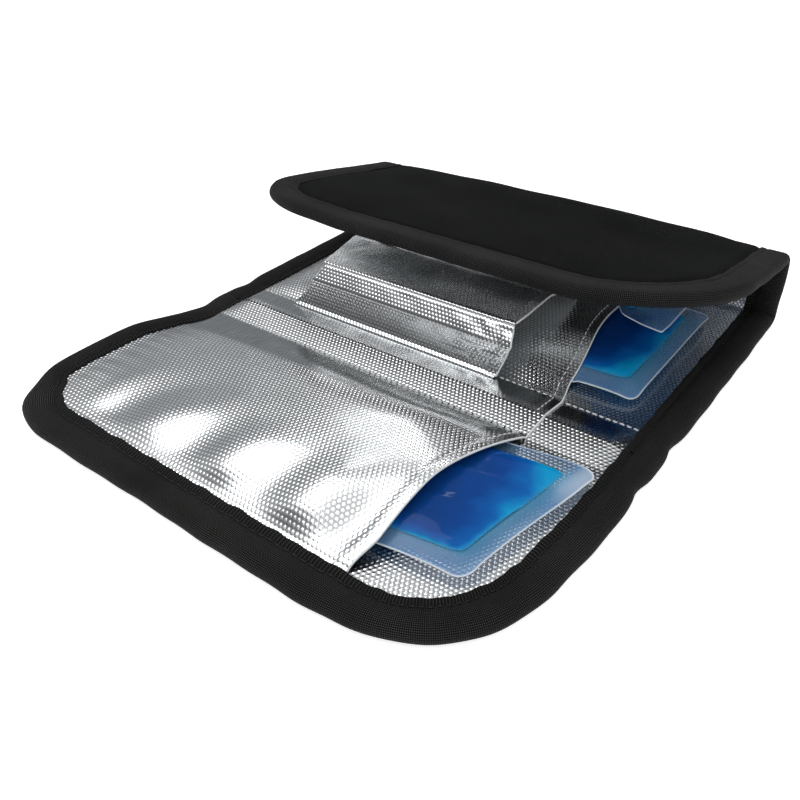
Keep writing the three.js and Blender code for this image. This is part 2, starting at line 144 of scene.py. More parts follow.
# White laminate: its own white plus a little for the camera, so that it reads as white where no
# shadow falls and keeps the shadow under the case.
material = bpy.data.materials.new("white_laminate")
material.use_nodes = True
tree = material.node_tree
tree.nodes.clear()
body = add_node(tree, "BsdfDiffuse", {"Color": linear("#e4e4e4")})
rays = add_node(tree, "LightPath")
seen = add_node(
    tree,
    "Math",
    {0: rays.outputs["Is Camera Ray"], 1: rays.outputs["Is Glossy Ray"]},
    operation="MAXIMUM",
).outputs[0]
seen = add_node(
    tree, "Math", {0: seen, 1: rays.outputs["Is Transmission Ray"]}, operation="MAXIMUM"
).outputs[0]
share = add_node(tree, "Math", {0: seen, 1: 0.68}, operation="MULTIPLY").outputs[0]
own = add_node(tree, "Emission", {"Color": (1, 1, 1, 1), "Strength": share})
both = add_node(tree, "AddShader", {0: body.outputs[0], 1: own.outputs[0]})
add_node(tree, "OutputMaterial", {"Surface": both.outputs[0]})
floor_mesh = bpy.data.meshes.new("table_top")
floor_corners = [(15 * a, 15 * b, -0.0004) for a, b in ((-1, -1), (1, -1), (1, 1), (-1, 1))]
floor_mesh.from_pydata(floor_corners, [], [(0, 1, 2, 3)])
floor_mesh.materials.append(material)
table_top = bpy.data.objects.new("table_top", floor_mesh)
scene.collection.objects.link(table_top)


# ---- Outer cloth -------------------------------------------------------------------------------
# One run of black coated Oxford cloth makes the outside of the case, from the front panel under
# the middle and up the back spine to the cover. Its edges are caught in the binding.

# In mm: half the case's length, the height of its lining over the table and of the folds' axes over
# the lining, the places of two folds, the back spine's height and the cover's depth.
HALF = 102.5
LINING_Z = 4.4
PIVOT = 1.5
FOLD_B_Y = 5.55
FOLD_D_Y = 107.55
FOLD_E_RISE = 21.0
COVER_DEPTH = 95.0
# Radii of the outline's corners, left and right, and of the layers round a fold, taken as one.
NEAR_CORNERS = (28.0, 45.0)
FAR_CORNERS = (32.0, 50.0)
MID_ARC_RADIUS = 3.7
# Degrees by which the two folds behind the middle panel are turned at rest.
REST_TURNS = (90.0, 82.0)

# Stations along the case, in mm along the lining from the fold between spine and middle panel.
Q_NEAR = -119.0
Q_FOLD_A = -25.4
Q_RIDGE = -12.7
Q_FOLD_D = 102.0
Q_SPINE = Q_FOLD_D + math.radians(REST_TURNS[0]) * MID_ARC_RADIUS
Q_FOLD_E = Q_SPINE + FOLD_E_RISE
Q_COVER = Q_FOLD_E + math.radians(REST_TURNS[1]) * MID_ARC_RADIUS
Q_FAR = Q_COVER + COVER_DEPTH
Q_REAR_SEAM = 96.0
Q_SPINE_SEAM = (Q_SPINE + Q_FOLD_E) / 2


def smooth(t):
    """Eases from 0 to 1."""
    t = np.clip(t, 0, 1)
    return t * t * (3 - 2 * t)


def ripple(x, y, seed, wavelengths, heading=0.0, spread=math.pi):
    """Soft unevenness of about unit height: a seeded sum of waves with lengths in mm."""
    pick = np.random.default_rng(seed)
    total = np.zeros(np.broadcast(x, y).shape)
    for wavelength in wavelengths:
        angle = pick.uniform(-spread, spread) / 2 + heading
        phase = pick.uniform(0, 2 * math.pi)
        way = x * math.cos(angle) + y * math.sin(angle)
        total = total + np.sin(2 * math.pi * way / wavelength + phase)
    return total / math.sqrt(len(wavelengths))


def case_lift(x, q):
    """How far the soft panels stand off their flat planes: the raised left side, the free edge of
    the cover, which curls up towards its ends, and gentle waves."""
    side = 2.5 * smooth((-x - 40) / 60) * smooth((-q - 30) / 30) * (1 - smooth((-q - 84) / 26))
    waves = 0.25 * ripple(x, q, 4, (95, 70, 58)) * smooth((np.abs(x) - 30) / 60)
    settle = smooth((-q - 30) / 20) + smooth((q - Q_COVER - 10) / 30)
    bow = 2.0 * smooth((q - Q_SPINE) / 14) * np.cos(np.clip(x / HALF, -1, 1) * math.pi / 2)
    bow = bow * smooth((Q_COVER + 30 - q) / 34)
    free = np.clip((q - Q_COVER) / COVER_DEPTH, 0, 1.1)
    curl = 2.6 * free * smooth((np.abs(x) - 45) / 55)
    return side + waves * settle - bow - curl


def case_spread(x, q):
    """The left ends of the front panel and of the cover have stretched out a little."""
    front = 7.5 * smooth((-q - 24) / 44)
    cover = 4.0 * smooth((q - Q_COVER) / 50)
    drawn_in = 0.5 + 2.4 * np.exp(-(((q + 86) / 24) ** 2))
    return -(2.5 + front + cover) * smooth((-x - 25) / 80) - drawn_in * smooth((x - 50) / 50)


def case_reach(x, q):
    """The near edge has been pressed out a little, most of all at its left end."""
    return -1.9 * smooth((-q - 103) / 11) * (1 - smooth((x - 40) / 30))


def case_point(x, q, h):
    """Places on the open case, in mm: x along the folds, q along the lining, h above the lining."""
    x, q, h = np.broadcast_arrays(*(np.asarray(v, float) for v in (x, q, h)))
    h = h + case_lift(x, q)
    spread = case_spread(x, q)
    first = math.radians(REST_TURNS[0]) * np.clip((q - Q_FOLD_D) / (Q_SPINE - Q_FOLD_D), 0, 1)
    second = math.radians(REST_TURNS[1]) * np.clip((q - Q_FOLD_E) / (Q_COVER - Q_FOLD_E), 0, 1)
    turn = first + second
    on_cover = q > Q_FOLD_E
    before_fold_e = np.minimum(q - Q_FOLD_D, 0) + np.clip(q - Q_SPINE, 0, FOLD_E_RISE)
    travel = np.where(on_cover, np.maximum(q - Q_COVER, 0), before_fold_e)
    travel = travel + case_reach(x, q)
    pivot_z = LINING_Z + PIVOT + np.where(on_cover, FOLD_E_RISE, 0)
    radius = PIVOT - h
    y = FOLD_D_Y + radius * np.sin(turn) + travel * np.cos(turn)
    z = pivot_z - radius * np.cos(turn) + travel * np.sin(turn)
    return np.stack([x + spread, y, z], -1)


def corner_radius(x, near):
    """Radius of the outline's corner on the side of x. The left corners are tighter."""
    left, right = NEAR_CORNERS if near else FAR_CORNERS
    return np.where(np.asarray(x) < 0, left, right)


def end_station(x, inset, near):
    """The station of the case's near or far edge at x, drawn in by inset."""
    corner = corner_radius(x, near) - inset
    past = np.clip(np.abs(x) - (HALF - inset - corner), 0, corner)
    drop = corner - np.sqrt(np.maximum(corner**2 - past**2, 0))
    return Q_NEAR + inset + drop if near else Q_FAR - inset - drop


def cross_stations(inset, corners, count):
    """Stations across the case, closer together round the corners."""
    if not corners:
        return np.linspace(-(HALF - inset), HALF - inset, count)
    bend = np.sin(np.linspace(0, math.pi / 2, 16))
    left, right = corners
    start, stop = left - HALF, HALF - right
    left_bend, right_bend = start - (left - inset) * bend[::-1], stop + (right - inset) * bend
    return np.concatenate([left_bend, np.linspace(start, stop, count)[1:-1], right_bend])


def soft_mesh(name, points, faces, lay, material):
    """A closed piece from points in mm, with its cloth coordinates in mm as a map."""
    points, faces = np.asarray(points, float), np.asarray(faces)
    a, b, c, d = (points[faces[:, k]] for k in range(4))
    volumes = np.einsum("ij,ij->i", a, np.cross(b, c)) + np.einsum("ij,ij->i", a, np.cross(c, d))
    if volumes.sum() < 0:
        faces = faces[:, ::-1]
    mesh = bpy.data.meshes.new(name)
    mesh.from_pydata((points * MM).tolist(), [], faces.tolist())
    mesh.shade_smooth()
    mesh.set_sharp_from_angle(angle=math.radians(55))
    layer = mesh.uv_layers.new(name="Lay")
    corners = np.zeros(len(mesh.loops), int)
    mesh.loops.foreach_get("vertex_index", corners)
    layer.data.foreach_set("uv", np.asarray(lay, float)[corners].ravel())
    mesh.materials.append(material)
    piece = bpy.data.objects.new(name, mesh)
    scene.collection.objects.link(piece)
    return piece


def slab_faces(rows, columns):
    """Faces of a closed slab from two grids of points, upper then lower."""
    count = rows * columns
    at = np.arange(count).reshape(rows, columns)
    a, b, c, d = at[:-1, :-1].ravel(), at[:-1, 1:].ravel(), at[1:, 1:].ravel(), at[1:, :-1].ravel()
    rim = np.concatenate([at[0, :-1], at[:-1, -1], at[-1, :0:-1], at[:0:-1, 0]])
    after = np.roll(rim, -1)
    return np.concatenate([
        np.stack([a, b, c, d], 1),
        np.stack([d, c, b, a], 1) + count,
        np.stack([after, rim, rim + count, after + count], 1),
    ])


def slab(name, upper, lower, chart, material, backing=None):
    """A closed sheet between two grids of points in mm. Its lower face can have a backing."""
    rows, columns = upper.shape[:2]
    points = np.concatenate([upper.reshape(-1, 3), lower.reshape(-1, 3)])
    lay = np.tile(np.stack(chart, -1).reshape(-1, 2), (2, 1))
    piece = soft_mesh(name, points, slab_faces(rows, columns), lay, material)
    if backing:
        piece.data.materials.append(backing)
        indices = np.zeros(len(piece.data.polygons), dtype=np.int32)
        count = (rows - 1) * (columns - 1)
        indices[count : 2 * count] = 1
        piece.data.polygons.foreach_set("material_index", indices)
    return piece


def case_sheet(name, x, q, high, low, material, backing=None):
    """A closed sheet on the case between two heights over the lining, from grids of stations."""
    return slab(name, case_point(x, q, high), case_point(x, q, low), (x, q), material, backing)


def paint(piece, name, values):
    """Gives the points of a piece a number each, which its material reads. The two faces of a sheet
    get the same."""
    layer = piece.data.attributes.new(name, "FLOAT", "POINT")
    values = np.resize(np.ravel(values), len(piece.data.vertices))
    layer.data.foreach_set("value", values.astype(np.float32))


def panel_grid(start, end, inset, near, far, pitch):
    """Stations of a panel piece from one seam to another seam or to the case's near or far edge."""
    corners = NEAR_CORNERS if near else FAR_CORNERS if far else None
    columns = cross_stations(inset, corners, int(2 * HALF / pitch))
    ends = end_station(columns, inset, near) if near or far else np.full(len(columns), float(end))
    rows = np.linspace(0, 1, max(int(abs(end - start) / pitch), 2) + 1)
    q = start + rows[:, None] * (ends - start)[None, :]
    x = np.broadcast_to(columns, q.shape)
    return x, q


def edge_distance(x, q):
    """Distance in from the case's outline, in mm."""
    distance = side = HALF - np.abs(x)
    for near in (True, False):
        corner = corner_radius(x, near)
        edge = q - Q_NEAR if near else Q_FAR - q
        from_centre = np.hypot(np.maximum(corner - side, 0), np.maximum(corner - edge, 0))
        in_corner = (side < corner) & (edge < corner)
        rounded = np.where(in_corner, corner - from_centre, np.minimum(side, edge))
        distance = np.minimum(distance, rounded)
    return distance


def start_material(name):
    """An empty material with its node tree and the cloth coordinates of its piece, in mm."""
    material = bpy.data.materials.new(name)
    material.use_nodes = True
    tree = material.node_tree
    tree.nodes.clear()
    return material, tree, add_node(tree, "UVMap", uv_map="Lay").outputs[0]


def finish_material(material, sockets, relief=None, depth=0.0, strength=1.0):
    """Gives a material its surface, over a relief of the given depth in metres if it has one."""
    tree = material.node_tree
    if relief is not None:
        bump = add_node(tree, "Bump", {"Strength": strength, "Distance": depth, "Height": relief})
        sockets = {**sockets, "Normal": bump.outputs[0]}
    surface = add_node(tree, "BsdfPrincipled", sockets)
    add_node(tree, "OutputMaterial", {"Surface": surface.outputs[0]})
    return material


# Oxford cloth, coated inside: a tight black basket weave with a faint twill line. It gives the eye
# a near black, dull face with fine ribs. Its threads are 0.5 mm apart and are drawn 1.1 mm apart,
# because finer ones don't show at this size.
THREAD_PITCH = 1.1
material, tree, chart = start_material("black_oxford_cloth")
split = add_node(tree, "SeparateXYZ", {0: chart})
thread = 2 * math.pi / THREAD_PITCH
warp = add_node(tree, "Math", {0: split.outputs["X"], 1: thread}, operation="MULTIPLY").outputs[0]
weft = add_node(tree, "Math", {0: split.outputs["Y"], 1: thread}, operation="MULTIPLY").outputs[0]
both = add_node(tree, "Math", {0: warp, 1: weft}, operation="ADD").outputs[0]
rib = add_node(tree, "Math", {0: both}, operation="SINE").outputs[0]
cross = add_node(tree, "Math", {0: warp}, operation="SINE").outputs[0]
weave = add_node(tree, "Math", {0: rib, 1: cross}, operation="ADD").outputs[0]
slub = add_node(
    tree, "TexNoise", {"Vector": chart, "Scale": 0.6, "Detail": 4.0, "Roughness": 0.6}
).outputs[0]
cloud = add_node(tree, "TexNoise", {"Vector": chart, "Scale": 0.018, "Detail": 3.0}).outputs[0]
tone = add_node(tree, "Math", {0: slub, 1: cloud}, operation="ADD").outputs[0]
dye = add_node(tree, "MapRange", {"Value": tone, "From Min": 0.6, "From Max": 1.4}).outputs[0]
dyed = add_node(
    tree, "Mix", {0: dye, 6: linear("#060707"), 7: linear("#101213")}, data_type="RGBA"
).outputs[2]
lit = add_node(tree, "MapRange", {"Value": weave, "From Min": -1.0, "From Max": 2.0}).outputs[0]
face = add_node(tree, "Mix", {0: lit, 6: linear("#030303"), 7: dyed}, data_type="RGBA").outputs[2]
relief = add_node(tree, "Math", {0: weave, 1: slub}, operation="ADD").outputs[0]
sockets = {"Base Color": face, "Roughness": 0.85, "Specular IOR Level": 0.1}
oxford_cloth = finish_material(material, sockets, relief, 0.00012, 0.8)

CLOTH_INSET = 2.0
CLOTH_THICK = 0.7


def cloth_outside(x, q):
    """Height of the cloth's outer face, which is drawn in under the bindings' edges."""
    under = smooth((edge_distance(x, q) - 10.0) / 5.0)
    flat = -3.35 - 1.02 * under
    puff = 0.55 * smooth((edge_distance(x, q) - 11) / 26) * smooth((q - Q_FOLD_E) / 24)
    # It is pressed in where the loop strip is sewn on.
    strip = smooth((31.5 - np.abs(x)) / 1.5) * smooth((q + 61.9) / 1.5) * smooth((-38.9 - q) / 1.5)
    waves = 0.16 * ripple(x, q, 11, (46, 33, 24)) * smooth((q - Q_SPINE) / 8)
    return flat + 0.8 * strip - puff - waves


# Each fold: the two bodies that it joins, its axis as (y, z) and the direction across it at rest.
FOLDS = {
    "A": ("front_panel", "front_spine", (FOLD_B_Y + Q_FOLD_A, LINING_Z + PIVOT), 0.0),
    "B": ("front_spine", "middle_panel", (FOLD_B_Y, LINING_Z + PIVOT), 0.0),
    "D": ("middle_panel", "back_spine", (FOLD_D_Y, LINING_Z + PIVOT), 45.0),
    "E": ("back_spine", "cover_flap", (FOLD_D_Y, LINING_Z + PIVOT + FOLD_E_RISE), 131.0),
}


def cross_fold(piece, fold):
    """The piece is left where it lies, with its placement baked into its mesh. It does not bend
    with the fold's bodies.
    """
    before, after, (y, z), heading = FOLDS[fold]
    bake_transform(piece)


# The runs of cloth, lining and binding, each across one fold: name, first and last station, whether
# it ends at the near or far edge, its fold, and the CAD panels whose layer it stands for.
RUNS = [
    ("front", Q_RIDGE, Q_NEAR, True, False, "A", ["front"]),
    ("middle", Q_RIDGE, Q_REAR_SEAM, False, False, "B", ["front_spine", "middle"]),
    ("back", Q_REAR_SEAM, Q_SPINE_SEAM, False, False, "D", ["back_spine"]),
    ("cover", Q_SPINE_SEAM, Q_FAR, False, True, "E", ["cover"]),
]

for name, start, end, near, far, fold, panels in RUNS:
    x, q = panel_grid(start, end, CLOTH_INSET, near, far, pitch=2.5)
    outside = cloth_outside(x, q)
    piece = case_sheet(f"{name}_oxford_cloth", x, q, outside + CLOTH_THICK, outside, oxford_cloth)
    cross_fold(piece, fold)
    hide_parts(*[f"{panel}_cloth" for panel in panels])


# ---- Foam padding ------------------------------------------------------------------------------
# A sheet of closed-cell foam lies between the cloth and the film lining of every panel and spine.
# Each piece stops short of the fold lines, so that the case folds there.

# Polyethylene foam, blown with fine closed cells: off-white, dull and slightly pitted. Its cells
# are about 0.5 mm across and are drawn 1 mm across.
material, tree, chart = start_material("closed_cell_foam")
cells = add_node(tree, "TexVoronoi", {"Vector": chart, "Scale": 1.0})
tint = add_node(
    tree, "MapRange", {"Value": cells.outputs["Distance"], "From Min": 0.0, "From Max": 0.8}
).outputs[0]
face = add_node(
    tree, "Mix", {0: tint, 6: linear("#eceae2"), 7: linear("#d6d3c8")}, data_type="RGBA"
).outputs[2]
sockets = {"Base Color": face, "Roughness": 0.9}
closed_cell_foam = finish_material(material, sockets, cells.outputs["Distance"], 0.0002, 0.5)

FOAM_INSET = 3.0
FOAM_GAP = 1.4


def foam_pad(panel, body, start, end, near=False, far=False):
    """A crowned pad of one panel, thinned to a round edge all round."""
    x, q = panel_grid(start, end, FOAM_INSET, near, far, pitch=4.0)
    rim = np.minimum(edge_distance(x, q) - FOAM_INSET, np.abs(q - start))
    if not (near or far):
        rim = np.minimum(rim, np.abs(q - end))
    full = np.sqrt(1 - (1 - np.clip(rim / 4.0, 0, 1)) ** 2)
    low = cloth_outside(x, q) + CLOTH_THICK + 0.12
    middle = (low - 0.5) / 2
    fatness = 0.35 + 0.65 * full
    high = middle + (-0.55 - middle) * fatness
    low = middle + (low - middle) * fatness
    piece = case_sheet(f"{panel}_pad", x, q, high, low, closed_cell_foam)
    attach(piece, body)
    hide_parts(f"{panel}_foam")


foam_pad("front", "front_panel", Q_FOLD_A - FOAM_GAP, Q_NEAR, near=True)
foam_pad("front_spine", "front_spine", Q_FOLD_A + FOAM_GAP, -FOAM_GAP)
foam_pad("middle", "middle_panel", FOAM_GAP, Q_FOLD_D - FOAM_GAP)
foam_pad("back_spine", "back_spine", Q_SPINE + FOAM_GAP, Q_FOLD_E - FOAM_GAP)
foam_pad("cover", "cover_flap", Q_COVER + FOAM_GAP, Q_FAR, far=True)


# ---- Silver film lining ------------------------------------------------------------------------
# The inside is faced with bright metallised film, embossed with staggered dots. It is one sheet
# over all the panels, sewn down along the folds, with its edges under the binding.

# The dots are drawn at their real pitch.
DOT_PITCH = 1.68


def silver_film_material(name, dot_height, haze, ground, creasing):
    """Aluminium-coated polyester film: a mirror-bright but slightly hazy metal, embossed with dots
    that catch the light one by one. haze is its roughness, and creasing the height of its creases
    against that of its dots."""
    material, tree, chart = start_material(name)
    half, half_row = DOT_PITCH / 2, DOT_PITCH * math.sqrt(3) / 2
    grids = []
    for shift in ((0.0, 0.0, 0), (half, half_row, 0)):
        moved = add_node(tree, "VectorMath", {0: chart, 1: shift}, operation="ADD")
        limits = {1: (half, half_row, 1), 2: (-half, -half_row, 0)}
        cell = add_node(tree, "VectorMath", {0: moved.outputs[0], **limits}, operation="WRAP")
        length = add_node(tree, "VectorMath", {0: cell.outputs[0]}, operation="LENGTH")
        grids.append(length.outputs["Value"])
    nearest = add_node(tree, "Math", {0: grids[0], 1: grids[1]}, operation="MINIMUM").outputs[0]
    # Round raised dots: their crests are polished by rolling, and the ground is hazier. The crests
    # are also painted white in the film's colour, as a painted highlight on each dot.
    dot = add_node(
        tree,
        "MapRange",
        {"Value": nearest, "From Min": 0.74, "From Max": 0.12},
        interpolation_type="SMOOTHSTEP",
    ).outputs[0]
    painted_crest_highlight = add_node(
        tree,
        "MapRange",
        {"Value": nearest, "From Min": 0.66, "From Max": 0.36},
        interpolation_type="SMOOTHSTEP",
    ).outputs[0]
    grain = add_node(
        tree, "TexNoise", {"Vector": chart, "Scale": 0.12, "Detail": 4.0, "Roughness": 0.55}
    ).outputs[0]
    creased = add_node(tree, "Math", {0: grain, 1: creasing}, operation="MULTIPLY").outputs[0]
    relief = add_node(tree, "Math", {0: dot, 1: creased}, operation="ADD").outputs[0]
    # Where the film is pulled tight over a fold, its dots are nearly flat. There its colour is also
    # painted a darker grey with fine streaks, as painted shade.
    pulled = add_node(tree, "Attribute", attribute_name="pulled").outputs["Fac"]
    standing = add_node(tree, "Math", {0: 1.0, 1: pulled}, operation="SUBTRACT").outputs[0]
    film_with_painted_highlights = add_node(
        tree, "Mix", {0: painted_crest_highlight, 6: linear(ground), 7: linear("#ffffff")}, data_type="RGBA"
    ).outputs[2]
    drawn = add_node(tree, "VectorMath", {0: chart, 1: (1.3, 0.1, 1.0)}, operation="MULTIPLY")
    streaks = add_node(
        tree, "TexNoise", {"Vector": drawn.outputs[0], "Scale": 1.0, "Detail": 3.0}
    ).outputs[0]
    streaky = add_node(
        tree, "MapRange", {"Value": streaks, "From Min": 0.35, "From Max": 0.65}
    ).outputs[0]
    painted_streaky_shade = add_node(
        tree, "Mix", {0: streaky, 6: linear("#8c9193"), 7: linear("#b9bdbf")}, data_type="RGBA"
    ).outputs[2]
    painted_shade_share = add_node(tree, "Math", {0: pulled, 1: 0.9}, operation="MULTIPLY").outputs[0]
    foil = add_node(tree, "Mix", {0: painted_shade_share, 6: film_with_painted_highlights, 7: painted_streaky_shade}, data_type="RGBA").outputs[2]
    patchiness = add_node(
        tree,
        "MapRange",
        {
            "Value": grain,
            "From Min": 0.3,
            "From Max": 0.7,
            "To Min": haze - 0.02,
            "To Max": haze + 0.04,
        },
    ).outputs[0]
    rough = add_node(tree, "Mix", {0: painted_crest_highlight, 2: patchiness, 3: haze * 0.75}, data_type="FLOAT")
    sockets = {"Base Color": foil, "Metallic": 1.0, "Roughness": rough.outputs[0]}
    return finish_material(material, sockets, relief, dot_height * MM, standing)


# The lining's film is drawn smooth by its seams, so that it mirrors the room in clear patches.
embossed_film = silver_film_material(
    "embossed_aluminised_film", dot_height=0.09, haze=0.17, ground="#cbcdce", creasing=0.12
)

LINING_INSET = 9.5
LINING_THICK = 0.35


def spine_crease(x, q):
    """The spine's lining rises to a ridge between its two rows of stitches."""
    away = np.abs(q - Q_RIDGE) / -Q_RIDGE
    free = smooth((edge_distance(x, q) - 10.5) / 8)
    return 1.7 * np.clip(1 - away, 0, 1) ** 0.9 * free


def pulled_over_spine(q):
    """How tight the film is pulled beside the fold to the middle panel: flat dots, painted shade.
    """
    return 0.8 * smooth((q - Q_RIDGE - 2.0) / 2.5) * smooth((0.8 - q) / 1.0)


def lining_top(x, q):
    """Height of the lining's face, with shallow pillows away from its seams."""
    loose = smooth((edge_distance(x, q) - 12) / 14)
    return spine_crease(x, q) + 0.14 * loose * ripple(x, q, 21, (31, 22, 15)) - 0.1


for name, start, end, near, far, fold, panels in RUNS:
    x, q = panel_grid(start, end, LINING_INSET, near, far, pitch=2.2)
    face = lining_top(x, q)
    piece = case_sheet(f"{name}_film_lining", x, q, face, face - LINING_THICK, embossed_film)
    # Beside the fold its dots are flattened and its colour gets painted shade.
    paint(piece, "pulled", pulled_over_spine(q))
    cross_fold(piece, fold)
    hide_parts(*[f"{panel}_lining" for panel in panels])


# ---- Binding tape ------------------------------------------------------------------------------
# A black ribbed tape is folded round the whole edge of the case and sewn through all the layers
# along one line. It rolls over the edge, and is pinched where the case folds.

# Woven polyester tape: black ribs across it on the lining side, and a coarse weave round the
# edge. The crests of its ribs and threads are painted grey, as small painted highlights, in
# patches.
TAPE_RIB = 1.25
material, tree, chart = start_material("black_ribbed_tape")
split = add_node(tree, "SeparateXYZ", {0: chart})
along, across = split.outputs["X"], split.outputs["Y"]
turned = 2 * math.pi / TAPE_RIB
ribs = add_node(tree, "Math", {0: along, 1: turned}, operation="MULTIPLY").outputs[0]
rows = add_node(tree, "Math", {0: across, 1: turned}, operation="MULTIPLY").outputs[0]
slant = add_node(tree, "Math", {0: ribs, 1: rows}, operation="ADD").outputs[0]
counter = add_node(tree, "Math", {0: ribs, 1: rows}, operation="SUBTRACT").outputs[0]
one = add_node(tree, "Math", {0: slant}, operation="SINE").outputs[0]
two = add_node(tree, "Math", {0: counter}, operation="SINE").outputs[0]
knots = add_node(tree, "Math", {0: one, 1: two}, operation="MULTIPLY").outputs[0]
plain = add_node(tree, "Math", {0: ribs}, operation="SINE").outputs[0]
lining_side = add_node(tree, "Math", {0: across, 1: 3.4}, operation="LESS_THAN").outputs[0]
flat_rib = add_node(tree, "Math", {0: plain, 1: 0.45}, operation="MULTIPLY").outputs[0]
woven = add_node(tree, "Mix", {0: lining_side, 2: knots, 3: flat_rib}, data_type="FLOAT")
fuzz = add_node(
    tree, "TexNoise", {"Vector": chart, "Scale": 0.9, "Detail": 4.0, "Roughness": 0.7}
).outputs[0]
patchiness = add_node(tree, "TexNoise", {"Vector": chart, "Scale": 0.03, "Detail": 2.0}).outputs[0]
# The weave's crests get painted grey highlights, patchy along the tape.
lights = add_node(
    tree, "MapRange", {"Value": woven.outputs[0], "From Min": 0.2, "From Max": 0.9}
).outputs[0]
gain = add_node(tree, "Math", {0: lights, 1: patchiness}, operation="MULTIPLY").outputs[0]
face = add_node(
    tree, "Mix", {0: gain, 6: linear("#070707"), 7: linear("#6c6c69")}, data_type="RGBA"
).outputs[2]
relief = add_node(tree, "Math", {0: woven.outputs[0], 1: fuzz}, operation="ADD").outputs[0]
sockets = {"Base Color": face, "Roughness": 0.75, "Specular IOR Level": 0.14}
ribbed_tape = finish_material(material, sockets, relief, 0.00022, 0.9)

# Bonded nylon thread, black, with a soft shine on each stitch.
material, tree, chart = start_material("black_nylon_thread")
twist = add_node(tree, "TexNoise", {"Vector": chart, "Scale": 3.0, "Detail": 2.0}).outputs[0]
face = add_node(
    tree, "Mix", {0: twist, 6: linear("#030303"), 7: linear("#161616")}, data_type="RGBA"
).outputs[2]
sockets = {"Base Color": face, "Roughness": 0.5, "Specular IOR Level": 0.3}
black_thread = finish_material(material, sockets)

# The tape's section, from its edge on the lining, round the outside, and back along its inside:
# distance in from the case's edge, and height over the lining.
TAPE_SECTION = [
    (12.7, 0.28), (12.68, 0.8), (12.3, 1.08), (11.5, 1.16), (10.8, 1.0), (10.2, 0.66), (9.6, 0.5),
    (9.1, 0.7), (8.3, 1.2), (7.0, 1.58), (5.4, 1.75), (3.8, 1.72), (2.4, 1.42), (1.3, 0.88),
    (0.5, 0.05), (0.05, -0.95), (0.0, -1.9), (0.25, -2.9), (0.9, -3.75), (1.9, -4.25),
    (3.2, -4.38), (8.7, -4.3), (9.6, -4.0), (10.5, -4.3), (11.9, -4.3), (12.2, -4.0),
    (12.1, -3.62), (9.6, -3.45), (3.2, -3.5), (1.6, -3.1), (1.0, -1.9), (1.5, -0.6), (3.4, 0.15),
    (9.6, 0.12), (12.5, 0.15),
]
TAPE_WIDTH = 12.7
TAPE_STITCH_DEPTH = 9.6
TAPE_STITCH_HEIGHT = 0.66
STITCH_PITCH = 3.4


def edge_path(start, end, near, far, side, step=1.3):
    """Stations along the case's outline: x, q and the direction inwards. A run that ends at the
    near or far edge goes round it, from one side of the case to the other."""
    if not (near or far):
        q = np.linspace(start, end, max(int(abs(end - start) / step), 4) + 1)
        return np.stack(np.broadcast_arrays(side * HALF, q, -side, 0.0), 1)
    corners = NEAR_CORNERS if near else FAR_CORNERS
    way = -1 if near else 1
    flanks = []
    for corner in corners:
        turn_q = end - way * corner
        flank = np.linspace(start, turn_q, int(abs(turn_q - start) / step))[:-1]
        angles = np.linspace(0, math.pi / 2, int(corner * math.pi / 2 / step))
        in_x, in_q = -np.cos(angles), -way * np.sin(angles)
        arc = np.stack([HALF - corner - corner * in_x, turn_q - corner * in_q, in_x, in_q], 1)
        straight = np.stack(np.broadcast_arrays(HALF, flank, -1.0, 0.0), 1)
        flanks.append(np.concatenate([straight, arc]))
    left, right = flanks[0][::-1] * (-1, 1, -1, 1), flanks[1]
    count = int((2 * HALF - sum(corners)) / step)
    across = np.linspace(HALF - corners[1], corners[0] - HALF, count)[1:-1]
    free_edge = np.stack(np.broadcast_arrays(across, end, 0.0, -float(way)), 1)
    return np.concatenate([right, free_edge, left])


def tape_places(path, depths, heights, run):
    """Places on the tape, from the depths and heights of its section and the distances along it. It
    is pinched at the folds, narrower along the front panel's left end, a little wavy at both edges,
    and puffed between its stitches."""
    x, q, in_x, in_q = (path[:, k : k + 1] for k in range(4))
    pinch = sum(np.exp(-(((q - fold) / 5.0) ** 2)) for fold in (Q_FOLD_A, 0.0))
    pinch = pinch * (np.abs(in_x) > 0.9)
    inner = np.clip(depths / TAPE_WIDTH, 0, 1)
    narrow = 0.17 * smooth((-x - 70) / 25) * smooth((-q - 26) / 20) * smooth((q + 108) / 14)
    depths = depths * (1 - narrow)
    wave = 0.22 * ripple(run, q * 0, 31, (29, 17, 43)) * (1 - inner)
    scallop = 0.22 * ripple(run, q * 0, 32, (9, 13, 6.8)) * inner
    depth = depths + (1.1 * pinch + wave) * (1 - inner) + scallop
    by_stitch = np.exp(-(((depths - TAPE_STITCH_DEPTH) / 2.2) ** 2))
    puff = 1 + 0.10 * np.cos(2 * math.pi * run / STITCH_PITCH) * by_stitch
    height = np.where(heights > 0.3, heights * puff * (1 - 0.25 * pinch), heights)
    return case_point(x + in_x * depth, q + in_q * depth, height)


def tube_walls(at):
    """Faces round a tube, from the numbers of its points: one row for each ring."""
    after = np.roll(at, -1, axis=-1)
    walls = [at[..., :-1, :], after[..., :-1, :], after[..., 1:, :], at[..., 1:, :]]
    return np.stack(walls, -1).reshape(-1, 4)


